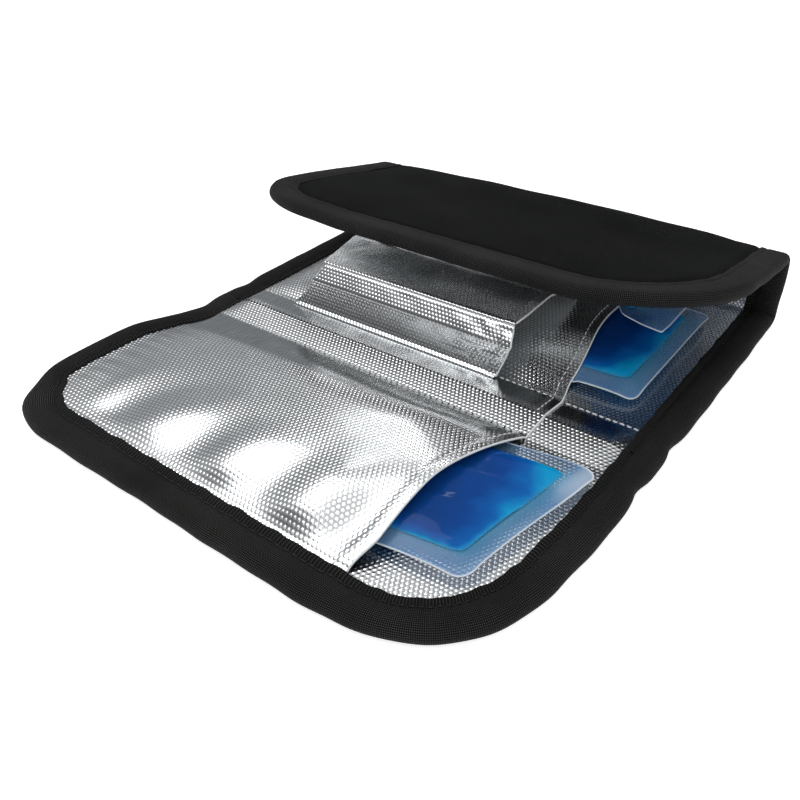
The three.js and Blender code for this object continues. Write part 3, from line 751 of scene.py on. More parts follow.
def stitch_row(name, place, middles, material, length, gauge):
    """Stitches lying along a row as short threads with their ends pulled in. place gives points for
    distances along the row and offsets from it to the side and upwards, and gauge is half the
    thread's thickness."""
    slices = []
    for share in np.linspace(-1, 1, 6):
        radius = gauge * math.sqrt(1 - (0.97 * share) ** 2)
        ring = []
        for turn in np.linspace(0, 2 * math.pi, 7)[:-1]:
            side = np.full(len(middles), radius * math.cos(turn))
            up = np.full(len(middles), radius * (math.sin(turn) + 0.6))
            ring.append(place(middles + share * length / 2, side, up))
        slices.append(np.stack(ring, 1))
    thread = np.stack(slices, 1)
    at = np.arange(thread.size // 3).reshape(thread.shape[:3])
    quads = ((0, [3, 2, 1, 0]), (0, [0, 5, 4, 3]), (-1, [0, 1, 2, 3]), (-1, [3, 4, 5, 0]))
    ends = [at[:, ring][:, quad] for ring, quad in quads]
    lay = np.broadcast_to(middles[:, None, None, None], (*at.shape, 2)).reshape(-1, 2)
    faces = np.concatenate([tube_walls(at), *ends])
    return soft_mesh(name, thread.reshape(-1, 3), faces, lay, material)


def tape_run(name, path, fold, nodes):
    """One run of the binding with its row of stitches."""
    steps = np.hypot(np.diff(path[:, 0]), np.diff(path[:, 1]))
    run = np.concatenate([[0], np.cumsum(steps)])[:, None]
    section = np.array(TAPE_SECTION)
    around = np.concatenate([[0], np.cumsum(np.hypot(*np.diff(section, axis=0).T))])
    points = tape_places(path, section[None, :, 0], section[None, :, 1], run)
    at = np.arange(points.size // 3).reshape(points.shape[:2])
    lay = np.stack(np.broadcast_arrays(run, around[None, :]), -1).reshape(-1, 2)
    ends = [
        [ring[k], ring[k + 1], ring[-k - 2], ring[-k - 1]]
        for ring in (at[0][::-1], at[-1])
        for k in range(len(section) // 2 - 1)
    ]
    faces = np.concatenate([tube_walls(at), ends])
    piece = soft_mesh(name, points.reshape(-1, 3), faces, lay, ribbed_tape)
    cross_fold(piece, fold)
    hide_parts(*nodes)

    def seat(along, side, up):
        """Places in the groove that the stitches press into the tape."""
        along = np.clip(along, 0, run[-1, 0])
        station = np.stack([np.interp(along, run[:, 0], path[:, k]) for k in range(4)], 1)
        depth, height = TAPE_STITCH_DEPTH + side[:, None], TAPE_STITCH_HEIGHT + up[:, None]
        return tape_places(station, depth, height, along[:, None])[:, 0]

    middles = np.arange(STITCH_PITCH / 2, run[-1, 0] - 1.2, STITCH_PITCH)
    stitches = stitch_row(f"{name}_stitches", seat, middles, black_thread, length=2.5, gauge=0.27)
    cross_fold(stitches, fold)


for name, start, end, near, far, fold, panels in RUNS:
    sides = (("", 1),) if near or far else (("_left", -1), ("_right", 1))
    for side_name, side in sides:
        nodes = [f"{panel}_binding{side_name}" for panel in panels]
        path = edge_path(start, end, near, far, side)
        tape_run(f"{name}_tape{side_name}", path, fold, nodes)


# ---- Film pockets ------------------------------------------------------------------------------
# Each panel has a pocket of the same film, sewn down at its left end and along both folds, and open
# to the right along a turned hem. The gel pack humps it up, and the hem stands well off the lining.

FILM_THICK = 0.28
HEM_WIDTH = 4.6
LEFT_SEAM_X = -89.0


def arch(t):
    """Rises steeply from 0 and levels out at 1."""
    return 1 - (1 - np.clip(t, 0, 1)) ** 3


def film_wrinkles(x, q, seed):
    """Fine gathers that run out from the left seam, and soft dents further in."""
    gathers = np.sin(2 * math.pi * q / 6.3 + 1.3 * ripple(x, q, seed, (41, 29)))
    gathers = gathers * np.exp(-(x - LEFT_SEAM_X) / 7)
    dents = ripple(x, q, seed + 1, (47, 36, 27), heading=math.pi / 2, spread=1.8)
    return 0.22 * gathers + 0.14 * dents


def hemmed(base, x, right, step=0.6):
    """Upper and lower heights of a pocket's film. Its mouth has a hem, the film turned under twice,
    which is thicker and has a raised lip."""
    hem = smooth((x - right + HEM_WIDTH) / step)
    return base + FILM_THICK + 0.3 * hem, base - 0.25 * hem


def pocket_piece(name, mouth, rows, height, tightness, fold):
    """A pocket sheet from its left edge under the tape to its mouth, over rows of stations."""
    share = np.concatenate([np.linspace(0, 0.93, 96), np.linspace(0.94, 1, 9)])
    q = np.broadcast_to(rows[:, None], (len(rows), len(share)))
    right = mouth(q)
    inset = 9.4
    corner = NEAR_CORNERS[0] - inset
    past = np.clip(NEAR_CORNERS[0] + Q_NEAR - q, 0, corner) * (fold == "A")
    left = inset - HALF + corner - np.sqrt(np.maximum(corner**2 - past**2, 0))
    x = left + share[None, :] * (right - left)
    high, low = hemmed(height(x, q, right), x, right)
    # Under the tape it lies flat between the lining and the stitches.
    caught = 1 - smooth((edge_distance(x, q) - 10.3) / 1.6)
    high = high * (1 - caught) + 0.27 * caught
    low = low * (1 - caught) + 0.05 * caught
    piece = case_sheet(name, x, q, high, low, embossed_film)
    # Where the film is tight its dots are flattened and its colour gets painted shade.
    paint(piece, "pulled", tightness(x, q, right))
    return piece


FRONT_SEAM = -106.0


def front_mouth(q):
    """The front pocket's mouth, drawn in at its near end and leaning out towards the fold."""
    return 53.1 - 2.4 * (1 - smooth((q - FRONT_SEAM) / 12)) + 7.0 * smooth((q + 72) / 47)


def front_pocket_height(x, q, right):
    """Low at the left, swelling towards the mouth, with slack swags by the near seam."""
    strip = spine_crease(x, q) + 0.22
    t = np.clip((q - FRONT_SEAM) / (Q_FOLD_A - FRONT_SEAM), 0, 1)
    swell = 10.3 * (1 - (1 - np.clip((x - LEFT_SEAM_X) / 143, 0, 1)) ** 1.9)
    round_arch = np.sin(math.pi * t) ** 0.75
    near_rise = 1 - (1 - np.clip(t / 0.34, 0, 1)) ** 2.3
    far_fall = 1 - np.clip((t - 0.64) / 0.36, 0, 1) ** 2
    at_mouth = smooth((x - right + 34) / 30)
    across = near_rise * far_fall * (1 - at_mouth) + round_arch * at_mouth
    swags = np.cos(2 * math.pi * (x - 0.35 * (q + 100) + 45) / 36)
    swags = swags * smooth(t / 0.1) * smooth((0.5 - t) / 0.4)
    swags = 1.25 * swags * smooth((x + 78) / 16) * smooth((right - x) / 12)
    loose = film_wrinkles(x, q, 41) * smooth(t / 0.2) * smooth((1 - t) / 0.12)
    loose = loose * smooth((x + 90) / 6)
    foot = np.maximum(strip * (1 - smooth((Q_FOLD_A - q) / 9)), 0.12)
    return np.where(q > Q_FOLD_A, strip, foot + swell * across + swags + loose)


def front_pocket_tightness(x, q, right):
    """Tight on the slope down to the fold and at its left corner, slack elsewhere. Where it is
    tight, the film's dots are flattened and its colour gets painted shade.
    """
    on_panel = smooth((Q_FOLD_A - q + 0.5) / 1.5)
    slope = smooth((q + 43.5) / 4.0) * on_panel
    corner = smooth((-x - 70) / 18) * smooth((q + 62) / 20) * on_panel
    return np.maximum(0.85 * slope * smooth((right - x - 4) / 6), 0.12 * corner)


over_strip = np.linspace(Q_RIDGE, Q_FOLD_A, 12)[:-1]
rows = np.concatenate([over_strip, np.linspace(Q_FOLD_A, Q_NEAR + 10.8, 80)])
front_film = pocket_piece(
    "front_film_pocket", front_mouth, rows, front_pocket_height, front_pocket_tightness, "A"
)
cross_fold(front_film, "A")
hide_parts("front_pocket_sheet", "front_spine_sheet")


def middle_mouth(q):
    """The middle pocket's mouth, drawn in at its middle."""
    return 60 - 2.5 * smooth((q + 2) / 14) - 5.5 * smooth((q - 10) / 45) + 4 * smooth((q - 76) / 24)


def middle_pocket_height(x, q, right):
    """A broad hump over the gel pack, and a higher hem, which the pen pocket hides."""
    strip = spine_crease(x, q) + 0.22
    hump = 7.4 * (arch((x + 90) / 75) * arch((q - 2) / 30) * arch((101.5 - q) / 24)) ** 0.95
    hem = 9.5 * smooth((q + 2) / 42) * smooth((101 - q) / 26)
    lift = smooth((x - right + 40) / 40)
    inside = smooth((q - 3) / 8) * smooth((101 - q) / 8)
    loose = film_wrinkles(x, q, 51) * inside * smooth((x + 90) / 6)
    foot = np.maximum(strip * (1 - smooth(q / 9)), 0.1)
    return np.where(q < 0, strip, foot + hump * (1 - lift) + hem * lift + loose * 0.8)


def middle_pocket_tightness(x, q, right):
    """Tight over the spine only, where the film's dots are flattened and it gets painted shade."""
    return pulled_over_spine(q)


rows = np.concatenate([np.linspace(Q_RIDGE, 0, 12)[:-1], np.linspace(0, 100.5, 60)])
middle_film = pocket_piece(
    "middle_film_pocket", middle_mouth, rows, middle_pocket_height, middle_pocket_tightness, "B"
)
cross_fold(middle_film, "B")
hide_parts("middle_pocket_sheet")

COVER_POCKET = 72.0


def cover_mouth(q):
    """The cover pocket's mouth, drawn in at its middle."""
    depth = q - Q_COVER
    return 57 - 4.5 * smooth(depth / 25) * smooth((COVER_POCKET - depth) / 25)


def cover_pocket_height(x, q, right):
    """An even hump over the gel pack."""
    depth = q - Q_COVER
    across = arch((depth - 1) / 15) * arch((COVER_POCKET - 0.6 - depth) / 13)
    hump = 7.3 * (arch((x + 88.5) / 30) * across) ** 0.85
    inside = smooth((depth - 1) / 7) * smooth((COVER_POCKET - 1 - depth) / 7)
    return 0.12 + hump + film_wrinkles(x, q, 61) * inside * smooth((x + 90) / 6) * 0.7


rows = np.linspace(Q_COVER + 0.8, Q_COVER + COVER_POCKET, 50)
share, q = np.meshgrid(np.linspace(0, 1, 90), rows)
right = cover_mouth(q)
inset = 11.0
corner = FAR_CORNERS[0] - inset
past = np.clip(q - (Q_FAR - FAR_CORNERS[0]), 0, corner)
left = inset - HALF + corner - np.sqrt(corner**2 - past**2)
x = left + share * (right - left)
high, low = hemmed(cover_pocket_height(x, q, right), x, right)
cover_film = case_sheet("cover_film_pocket", x, q, high, low, embossed_film)
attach(cover_film, "cover_flap")
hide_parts("cover_pocket_sheet")


# Nylon thread, off-white and glossy, which draws thin bright dashed lines on the film.
material, tree, chart = start_material("white_nylon_thread")
twist = add_node(tree, "TexNoise", {"Vector": chart, "Scale": 3.0, "Detail": 2.0}).outputs[0]
face = add_node(
    tree, "Mix", {0: twist, 6: linear("#c9ccce"), 7: linear("#ffffff")}, data_type="RGBA"
).outputs[2]
white_thread = finish_material(material, {"Base Color": face, "Roughness": 0.35})

SEAM_PITCH = 2.6
HEM_SEAM = 3.4


def seam_stitches(name, place, start, end, fold):
    """A row of white stitches between two distances along a seam."""
    middles = np.arange(start + SEAM_PITCH / 2, end - SEAM_PITCH / 2, SEAM_PITCH)
    row = stitch_row(name, place, middles, white_thread, length=1.9, gauge=0.17)
    cross_fold(row, fold)


def across_case(station, height):
    """Places along a seam that runs across the case."""
    def place(along, side, up):
        face = height(along, np.full(along.shape, station))
        return case_point(along, station + side, face + up)
    return place


def along_hem(mouth, height):
    """Places along the seam of a hem, HEM_SEAM in from the pocket's mouth."""
    def place(along, side, up):
        x = mouth(along) - HEM_SEAM + side
        return case_point(x, along, height(x, along, mouth(along)) + FILM_THICK + 0.3 + up)
    return place


def over_spine(x, q):
    """Just over the pockets' film where it crosses the spine."""
    return spine_crease(x, q) + 0.5


def over_lining(x, q):
    """Just over the bare lining, right of the pockets."""
    return lining_top(x, q) + 0.05


for name, station, fold in (("front", Q_FOLD_A + 0.7, "A"), ("middle", 0.7, "B")):
    seam_stitches(f"{name}_seam_stitches", across_case(station, over_spine), LEFT_SEAM_X, 57, fold)
    seam_stitches(f"{name}_lining_stitches", across_case(station, over_lining), 61, 91, fold)
# Black stitches hold the spine's foam along the ridge.
ridge_rows = (("pocket", over_spine, LEFT_SEAM_X, 56), ("lining", over_lining, 61, 91))
for name, height, start, end in ridge_rows:
    middles, place = np.arange(start, end, 1.7), across_case(Q_RIDGE, height)
    row = stitch_row(f"spine_{name}_stitches", place, middles, black_thread, length=0.9, gauge=0.34)
    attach(row, "front_spine")
seam_stitches("front_hem_stitches", along_hem(front_mouth, front_pocket_height), -104, -14, "A")
seam_stitches("middle_hem_stitches", along_hem(middle_mouth, middle_pocket_height), -12, 99, "B")


def film_edge(name, path, away=(0.0, 0.0, 1.0)):
    """A fine bead along the cut edge of a film, where its white backing shows. path holds its
    places in mm, and away the direction out of the film's face."""
    turn = np.linspace(0, 2 * math.pi, 9)[:-1][None, :, None]
    across = np.array([1.0, 0.0, 0.0])
    away = np.broadcast_to(away, path.shape)[:, None, :]
    points = path[:, None, :] + (0.32 * np.cos(turn) * across + 0.42 * np.sin(turn) * away)
    at = np.arange(len(path) * 8).reshape(-1, 8)
    quads = ([0, 1, 2, 3], [0, 3, 4, 7], [4, 5, 6, 7])
    ends = [ring[quad] for ring in (at[0][::-1], at[-1]) for quad in quads]
    faces, lay = np.concatenate([tube_walls(at), ends]), np.repeat(path[:, :2], 8, axis=0)
    edge = soft_mesh(name, points.reshape(-1, 3), faces, lay, white_thread)
    return edge


def mouth_edge(name, mouth, height, start, end, fold):
    """The cut edge of a pocket's mouth."""
    q = np.linspace(start, end, 120)
    right = mouth(q)
    path = case_point(right + 0.12, q, height(right, q, right) + FILM_THICK / 2)
    cross_fold(film_edge(name, path), fold)


mouth_edge("front_mouth_edge", front_mouth, front_pocket_height, FRONT_SEAM, Q_RIDGE - 0.2, "A")
mouth_edge("middle_mouth_edge", middle_mouth, middle_pocket_height, Q_RIDGE + 0.2, 100, "B")


# ---- Gel packs ---------------------------------------------------------------------------------
# Three clear pouches of blue cooling gel, welded shut all round with a flat 7 mm border. Each lies
# loose in its pocket and sticks out of the mouth, where it is pulled out to be chilled.

POUCH_CENTRE_X = 7.0
POUCH_HALF = (75.0, 32.0)
POUCH_WELD = 7.0
# Height of a pack's middle layer over the lining, and the gel's thickness above and below it.
GEL_MIDDLE = 4.1
GEL_RISE = 2.35
GEL_DEPTH = 1.7
# How square the gel's outline is, as the exponent of a superellipse.
SQUARENESS = 26.0

# Cooling gel: a thick clear blue jelly, deep blue where it is thick and bright cyan where it thins
# out towards the welds. The film clings to it, wet-looking, in a few long sharp creases.
material, tree, chart = start_material("blue_cooling_gel")
depth = add_node(tree, "Attribute", attribute_name="fullness").outputs["Fac"]
murk = add_node(
    tree, "TexNoise", {"Vector": chart, "Scale": 0.05, "Detail": 3.0, "Roughness": 0.55}
).outputs[0]
mottle = add_node(tree, "Math", {0: murk, 1: -0.5}, operation="ADD").outputs[0]
thick = add_node(tree, "Math", {0: depth, 1: mottle}, operation="ADD").outputs[0]
blues = [(0.02, "#0893c8"), (0.28, "#045ba8"), (0.6, "#043c88"), (0.95, "#04316f")]
blend = add_node(tree, "ValToRGB", {0: thick})
for k, (position, tone) in enumerate(blues):
    stop = blend.color_ramp.elements[k] if k < 2 else blend.color_ramp.elements.new(position)
    stop.position = position
    stop.color = linear(tone)
shade = blend.outputs["Color"]
sockets = {"Base Color": shade, "Roughness": 0.08, "IOR": 1.33, "Specular IOR Level": 0.22}
cooling_gel = finish_material(material, sockets, murk, 0.0008, 0.6)

# Polyethylene pouch film: quite clear where it clings to the gel, milky and half clear in the weld,
# and white along its cut edge. Its weld is painted blue, a painted reflection of the gel, and a
# painted cyan glow of the gel's light lies round the gel towards its right end.
material, tree, chart = start_material("milky_pouch_film")
milk = add_node(tree, "Attribute", attribute_name="milk").outputs["Fac"]
haze = add_node(tree, "TexNoise", {"Vector": chart, "Scale": 0.07, "Detail": 3.0}).outputs[0]
painted_gel_reflection = add_node(
    tree, "Mix", {0: haze, 6: linear("#3f80bf"), 7: linear("#92b4d2")}, data_type="RGBA"
).outputs[2]
glow = add_node(tree, "Attribute", attribute_name="glow").outputs["Fac"]
tint = add_node(tree, "Mix", {0: glow, 6: painted_gel_reflection, 7: linear("#3fa9cf")}, data_type="RGBA").outputs[2]
edge = add_node(tree, "MapRange", {"Value": milk, "From Min": 0.5, "From Max": 0.8}).outputs[0]
face = add_node(tree, "Mix", {0: edge, 6: tint, 7: linear("#f2f7fa")}, data_type="RGBA").outputs[2]
bars = add_node(
    tree, "TexNoise", {"Vector": chart, "Scale": 0.12, "Detail": 2.0, "Distortion": 0.5}
).outputs[0]
sockets = {"Base Color": face, "Roughness": 0.25, "Alpha": milk}
milky_film = finish_material(material, sockets, bars, 0.0006, 0.4)


def gel_fullness(gauge):
    """Share of the gel's full thickness, from 1 in the middle to 0 at the weld."""
    return (1 - gauge**5) ** 0.7


def pouch(
    panel, centre_q, way, body, ceiling, stretch, skew, round_corner, seed,
    droop=lambda u, v: 0.0, tug=(0.0, 0.0), short=0.0,
):
    """A gel pillow in its welded film. u runs along it and v across, and way is 1 or -1, as v runs
    along the case or against it. ceiling is the height under the pocket's sheet, stretch the scale
    of v on its two sides, skew how far the free end has slewed along the case, round_corner the
    radius of the free end's corners, droop how far it is lowered, tug how far its corner next to
    the fold is drawn out, in x and along v, and short how far the gel ends from the weld there."""
    half_x, half_y = POUCH_HALF

    def station(u, v):
        """Where the pouch's own places lie on the case, as x and q."""
        wide = v * (1 + (np.where(v < 0, *stretch) - 1) * smooth((u - 18) / 30))
        drawn = smooth((u - 30) / 45) * (half_y - v) / (2 * half_y)
        q = centre_q + way * (wide + tug[1] * drawn) + skew * smooth((u - 22) / 50)
        return POUCH_CENTRE_X + u + tug[0] * drawn, q

    def two_faces(u, v, rise, thick):
        """Upper and lower face, sunk towards the edges and pressed down by the pocket's sheet."""
        x, q = station(u, v)
        out_x = smooth((np.abs(u) - (half_x - 9)) / 9)
        out_y = smooth((np.abs(v) - (half_y - 9)) / 9)
        middle = GEL_MIDDLE - 0.4 * out_x - 1.1 * out_y + droop(u, v)
        top = np.minimum(middle + rise, ceiling(x, q))
        bottom = np.minimum(middle - thick, top - 0.08 - 0.12 * thick)
        bottom = np.maximum(bottom, np.minimum(0.42, top - 0.06))
        return case_point(x, q, top), case_point(x, q, bottom)

    # The gel: a slack pillow in rings, square at its corners, thinning to its rim.
    shares = np.concatenate([np.linspace(1, 0.8, 9)[:-1], np.linspace(0.8, 0.02, 22)])
    angles = np.linspace(0, 2 * math.pi, 181)[:-1]
    c, s = np.cos(angles), np.sin(angles)
    reach = (np.abs(c) ** SQUARENESS + np.abs(s) ** SQUARENESS) ** (-1 / SQUARENESS)
    share = shares[:, None]
    slack = 1 + 0.004 * ripple(angles * 30, angles * 0, seed, (47, 29)) * share**2
    u = share * reach * c * (half_x - POUCH_WELD - np.where(c > 0, short, 0)) * slack
    v = share * reach * s * (half_y - POUCH_WELD) * slack
    full = np.broadcast_to(gel_fullness(share), u.shape)
    crease = 1 - np.abs(np.sin(math.pi * (u * 0.45 + v + 5 * np.sin(u / 21)) / 17))
    dent = 0.12 * ripple(u, v, seed + 1, (33, 24, 17)) + 0.16 * crease**5
    upper, lower = two_faces(u, v, GEL_RISE * full * (1 + dent), GEL_DEPTH * full)
    # The rings run in to the middle of the upper face, and back out over the lower one.
    points = np.concatenate([upper, lower[:0:-1]])
    u, v, full = (np.concatenate([grid, grid[:0:-1]]) for grid in (u, v, full))
    at = np.arange(u.size).reshape(u.shape)
    faces = tube_walls(np.concatenate([at, at[:1]]))
    lay = np.stack([u, v], -1).reshape(-1, 2)
    gel = soft_mesh(f"{panel}_gel_filling", points.reshape(-1, 3), faces, lay, cooling_gel)
    paint(gel, "fullness", full * (1 - 0.7 * smooth((u - 42) / 26) * smooth((14 - v) / 30)))
    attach(gel, body)
    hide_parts(f"{panel}_gel_core")

    # The film: a closed envelope a little over the gel, flat in the welds, with rounded corners.
    ends = np.linspace(-1, -0.86, 9)[:-1], np.linspace(0.86, 1, 14)[1:]
    sides = np.linspace(-1, -0.7, 12)[:-1], np.linspace(0.7, 1, 12)[1:]
    u = np.concatenate([ends[0], np.linspace(-0.86, 0.86, 90), ends[1]])
    v = np.concatenate([sides[0], np.linspace(-0.7, 0.7, 40), sides[1]])
    u, v = np.meshgrid(u * half_x, v * half_y)
    corner = np.where(u > 0, round_corner, 4.0)
    past_x = np.maximum(np.abs(u) - (half_x - corner), 0)
    past_y = np.maximum(np.abs(v) - (half_y - corner), 0)
    in_corner = (past_x > 0) & (past_y > 0)
    longest = np.maximum(np.maximum(past_x, past_y), 1e-9)
    pull = np.where(in_corner, longest / np.hypot(past_x, past_y).clip(1e-9), 1)
    u = np.sign(u) * (np.abs(u) - past_x * (1 - pull))
    v = np.sign(v) * (np.abs(v) - past_y * (1 - pull))
    inner_x = half_x - POUCH_WELD - np.where(u > 0, short, 0)
    gauge = (np.abs(u) / inner_x) ** SQUARENESS + (np.abs(v) / (half_y - POUCH_WELD)) ** SQUARENESS
    gauge = gauge ** (1 / SQUARENESS)
    full = gel_fullness(np.clip(gauge / 1.015, 0, 1))
    crimp = 0.18 * ripple(u, v, seed + 5, (37, 26)) * smooth((gauge - 0.98) / 0.1)
    rise, thick = GEL_RISE * full * 1.34 + 0.14 + crimp, 1.8 * full + 0.14 - crimp
    upper, lower = two_faces(u, v, rise, thick)
    rim = np.minimum(half_x - np.abs(u), half_y - np.abs(v))
    rim = np.where(in_corner, corner - np.hypot(past_x * pull, past_y * pull), rim)
    # The weld is milky, but clearer on the far side. In the corner that is drawn out it is painted
    # whiter, as a painted highlight.
    clear = 0.6 * smooth((np.abs(v) - 20) / 6) * (1 - smooth((u - 66) / 4))
    milk = 0.02 + 0.40 * smooth((gauge - 0.985) / 0.035)
    milk = np.where(way * v > 0, milk * (1 - clear), milk)
    painted_corner_highlight = tug[0] / 8.5 * smooth((u - 65) / 8) * smooth((-v + 4) / 30)
    milk = np.where(rim < 0.6, 0.8, milk + 0.2 * painted_corner_highlight)
    # A painted cyan glow of the gel's light in the film, round the gel towards its right end.
    glow = 0.8 * np.exp(-np.clip(gauge - 1, 0, 1) / 0.035) * smooth((u - 30) / 30)
    film = slab(f"{panel}_gel_pouch", upper, lower, (u, v), milky_film)
    paint(film, "milk", milk)
    paint(film, "glow", glow)
    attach(film, body)
    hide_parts(f"{panel}_gel_bag")


def under_sheet(mouth, height):
    """Height under a pocket's sheet, opening upwards past its mouth."""
    def ceiling(x, q):
        right = mouth(q)
        past = x - right
        under = height(np.minimum(x, right), q, right) - 0.45
        return under + 7 * smooth((past - 0.5) / 9) + 18 * smooth((past - 3) / 20)
    return ceiling


def hanging_corner(u, v):
    """The third pack's free corner hangs down from the cover."""
    return 11.0 * np.clip((u - 25) / 50, 0, 1) * np.clip((v + 20) / 52, 0, 1)


pouch(
    "front", Q_FOLD_A - 40.45, -1, "front_gel_pack", under_sheet(front_mouth, front_pocket_height),
    stretch=(0.9, 0.97), skew=5.0, round_corner=5.5, seed=71, tug=(8.5, -1.5),
)
pouch(
    "middle", 51.0, 1, "middle_gel_pack", under_sheet(middle_mouth, middle_pocket_height),
    stretch=(1.28, 1.0), skew=2.0, round_corner=3.5, seed=81,
)
pouch(
    "cover", Q_COVER + 36.0, 1, "cover_gel_pack", under_sheet(cover_mouth, cover_pocket_height),
    stretch=(1, 1), skew=5.0, round_corner=1.2, seed=91, droop=hanging_corner, short=8.0,
)


# ---- Pen pocket --------------------------------------------------------------------------------
# A boxy pocket for two pens stands on the middle pocket. Its top is one sheet, its front stands on
# a welded bead and leans back above, its left end is folded shut, and its right end is a mouth.

PEN_MOUTH = 34.0

# The same film, not sewn flat, so it is crumpled, and its shine is hazier and broken up.
crumpled_film = silver_film_material(
    "crumpled_aluminised_film", dot_height=0.11, haze=0.24, ground="#d2d4d6", creasing=0.2
)

# The film's back: a white polyethylene layer, dull and slightly grey.
material, tree, chart = start_material("white_film_backing")
cloud = add_node(tree, "TexNoise", {"Vector": chart, "Scale": 0.3, "Detail": 4.0}).outputs[0]
face = add_node(
    tree, "Mix", {0: cloud, 6: linear("#c4c8cb"), 7: linear("#eceff0")}, data_type="RGBA"
).outputs[2]
film_backing = finish_material(material, {"Base Color": face, "Roughness": 0.5})


def pen_left(y):
    """Left edge of the pen pocket's top at a distance from the fold."""
    return -59 - 13 * (y - 8) / 52


def pen_slope(y):
    """How far the pen pocket's top has sloped down at a distance from the fold."""
    return 11.2 * smooth((y - 35) / 27)


def crumple(x, y, seed, strength):
    """Sharp creases and facets, as in film that has been squeezed."""
    facets = 0
    for k, (a, b, width) in enumerate([(1, 0.35, 13), (0.8, -0.7, 9.5), (0.3, 1, 7)]):
        bend = 0.9 * ripple(x, y, seed + k, (31, 17))
        facets = facets + np.abs(np.sin(math.pi * (x * a + y * b) / width + bend))
    return strength * (facets / 3 - 0.6)


# The top: level over the pens, then sloping down to the middle panel's far side.
front_rows, back_rows = [8.0, 8.15, 8.6, 9.4], [61.5, 64]
y = np.concatenate([front_rows, np.linspace(10.5, 37, 20), np.linspace(38.5, 60, 15), back_rows])
share = np.concatenate([np.linspace(0, 0.955, 94), np.linspace(0.962, 1, 10)])
share, y = np.meshgrid(share, y)
x = pen_left(y) + share * (PEN_MOUTH + 0.4 * np.sin(y / 7) - pen_left(y))
loose = smooth((y - 8) / 9) * smooth((63 - y) / 9)
sag = 0.9 * np.sin(np.clip((y - 8) / 50, 0, 1) * math.pi) * np.cos((x + 12) / 60)
front_roll = 0.9 * (1 - np.sqrt(1 - np.clip((9.4 - y) / 1.4, 0, 1) ** 2))
dents = crumple(x, y, 101, 0.14) + 0.14 * ripple(x, y, 104, (36, 27, 21))
height = 19.75 - pen_slope(y) - sag * loose - front_roll + dents * loose
high, low = hemmed(height, x, PEN_MOUTH, step=0.5)
top = case_sheet("pen_pocket_top_film", x, y, high, low, crumpled_film, film_backing)
# Behind its rolled front edge and short of its hem the top is pulled tight, most at the left: there
# its dots are flattened and its colour gets painted shade.
tight = 0.8 - 0.5 * smooth((x + 25) / 30)
paint(top, "pulled", tight * smooth((y - 9.6) / 1.5) * smooth((PEN_MOUTH - 3.8 - x) / 0.8))
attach(top, "pen_pocket_top_sheet")
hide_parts("pen_pocket_top")
top_path = case_point(x[3:, -1] + 0.12, y[3:, -1], height[3:, -1] + FILM_THICK / 2)
top_edge = film_edge("pen_pocket_top_edge", top_path)
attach(top_edge, "pen_pocket_top_sheet")

# The front, as distances from the fold and heights: from its welded bead at the foot up to the top.
FRONT_PROFILE = np.array([
    (-1.9, 0.95), (-1.5, 1.6), (-0.9, 1.85), (-0.4, 1.5), (0.0, 1.4), (0.35, 1.9), (0.7, 2.8),
    (1.1, 4.2), (1.7, 6.5), (2.3, 9.5), (2.7, 11.6), (2.9, 12.7), (3.3, 13.5), (4.3, 14.7),
    (5.6, 16.2), (7.0, 17.8), (7.8, 18.75), (8.1, 19.0),
])
steps = np.concatenate([[0], np.cumsum(np.hypot(*np.diff(FRONT_PROFILE, axis=0).T))])
run = np.linspace(0, steps[-1], 44)
profile_y, profile_h = (np.interp(run, steps, values) for values in FRONT_PROFILE.T)
share = np.concatenate([np.linspace(0, 0.955, 110), np.linspace(0.962, 1, 10)])
up = (profile_h / 19.0)[:, None]
left = np.interp(up, [0, 0.5, 1], [-70, -62.5, -58.2])
right = np.interp(up, [0, 0.1, 0.7, 1], [32.4, 32.6, 36.2, 34.2])
x = left + share[None, :] * (right - left)
y, height, run = (np.broadcast_to(v[:, None], x.shape) for v in (profile_y, profile_h, run))
hem = smooth((x - right + 4.4) / 0.5)
free = smooth((up - 0.08) / 0.12) * smooth((1.02 - up) / 0.12)
squeeze = 0.05 + 0.6 * smooth((x - 2) / 26)
dents = crumple(x, height * 1.4, 111, 1.3) * squeeze
dents = dents + 0.1 * ripple(x, height * 2.5, 114, (37, 25, 16))
push, tilt = free * dents, math.radians(28)
y = y - push * math.cos(tilt)
height = height + push * math.sin(tilt) * 0.4
ahead = case_point(x, y - FILM_THICK - 0.25 * hem, height)
behind = case_point(x, y + 0.2 * hem, height)
front = slab("pen_pocket_front_film", ahead, behind, (x, run + 0.4), embossed_film, film_backing)
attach(front, "middle_panel")
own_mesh(front)
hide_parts("pen_pocket_front")
slope_y, slope_h = np.gradient(profile_y), np.gradient(profile_h)
outward = np.stack([0 * slope_y, -slope_h, slope_y], 1) / np.hypot(slope_y, slope_h)[:, None]
front_path = (ahead[:, -1] + behind[:, -1]) / 2 + (0.12, 0, 0)
front_edge = film_edge("pen_pocket_front_edge", front_path[2:], outward[2:])
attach(front_edge, "middle_panel")
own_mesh(front_edge)

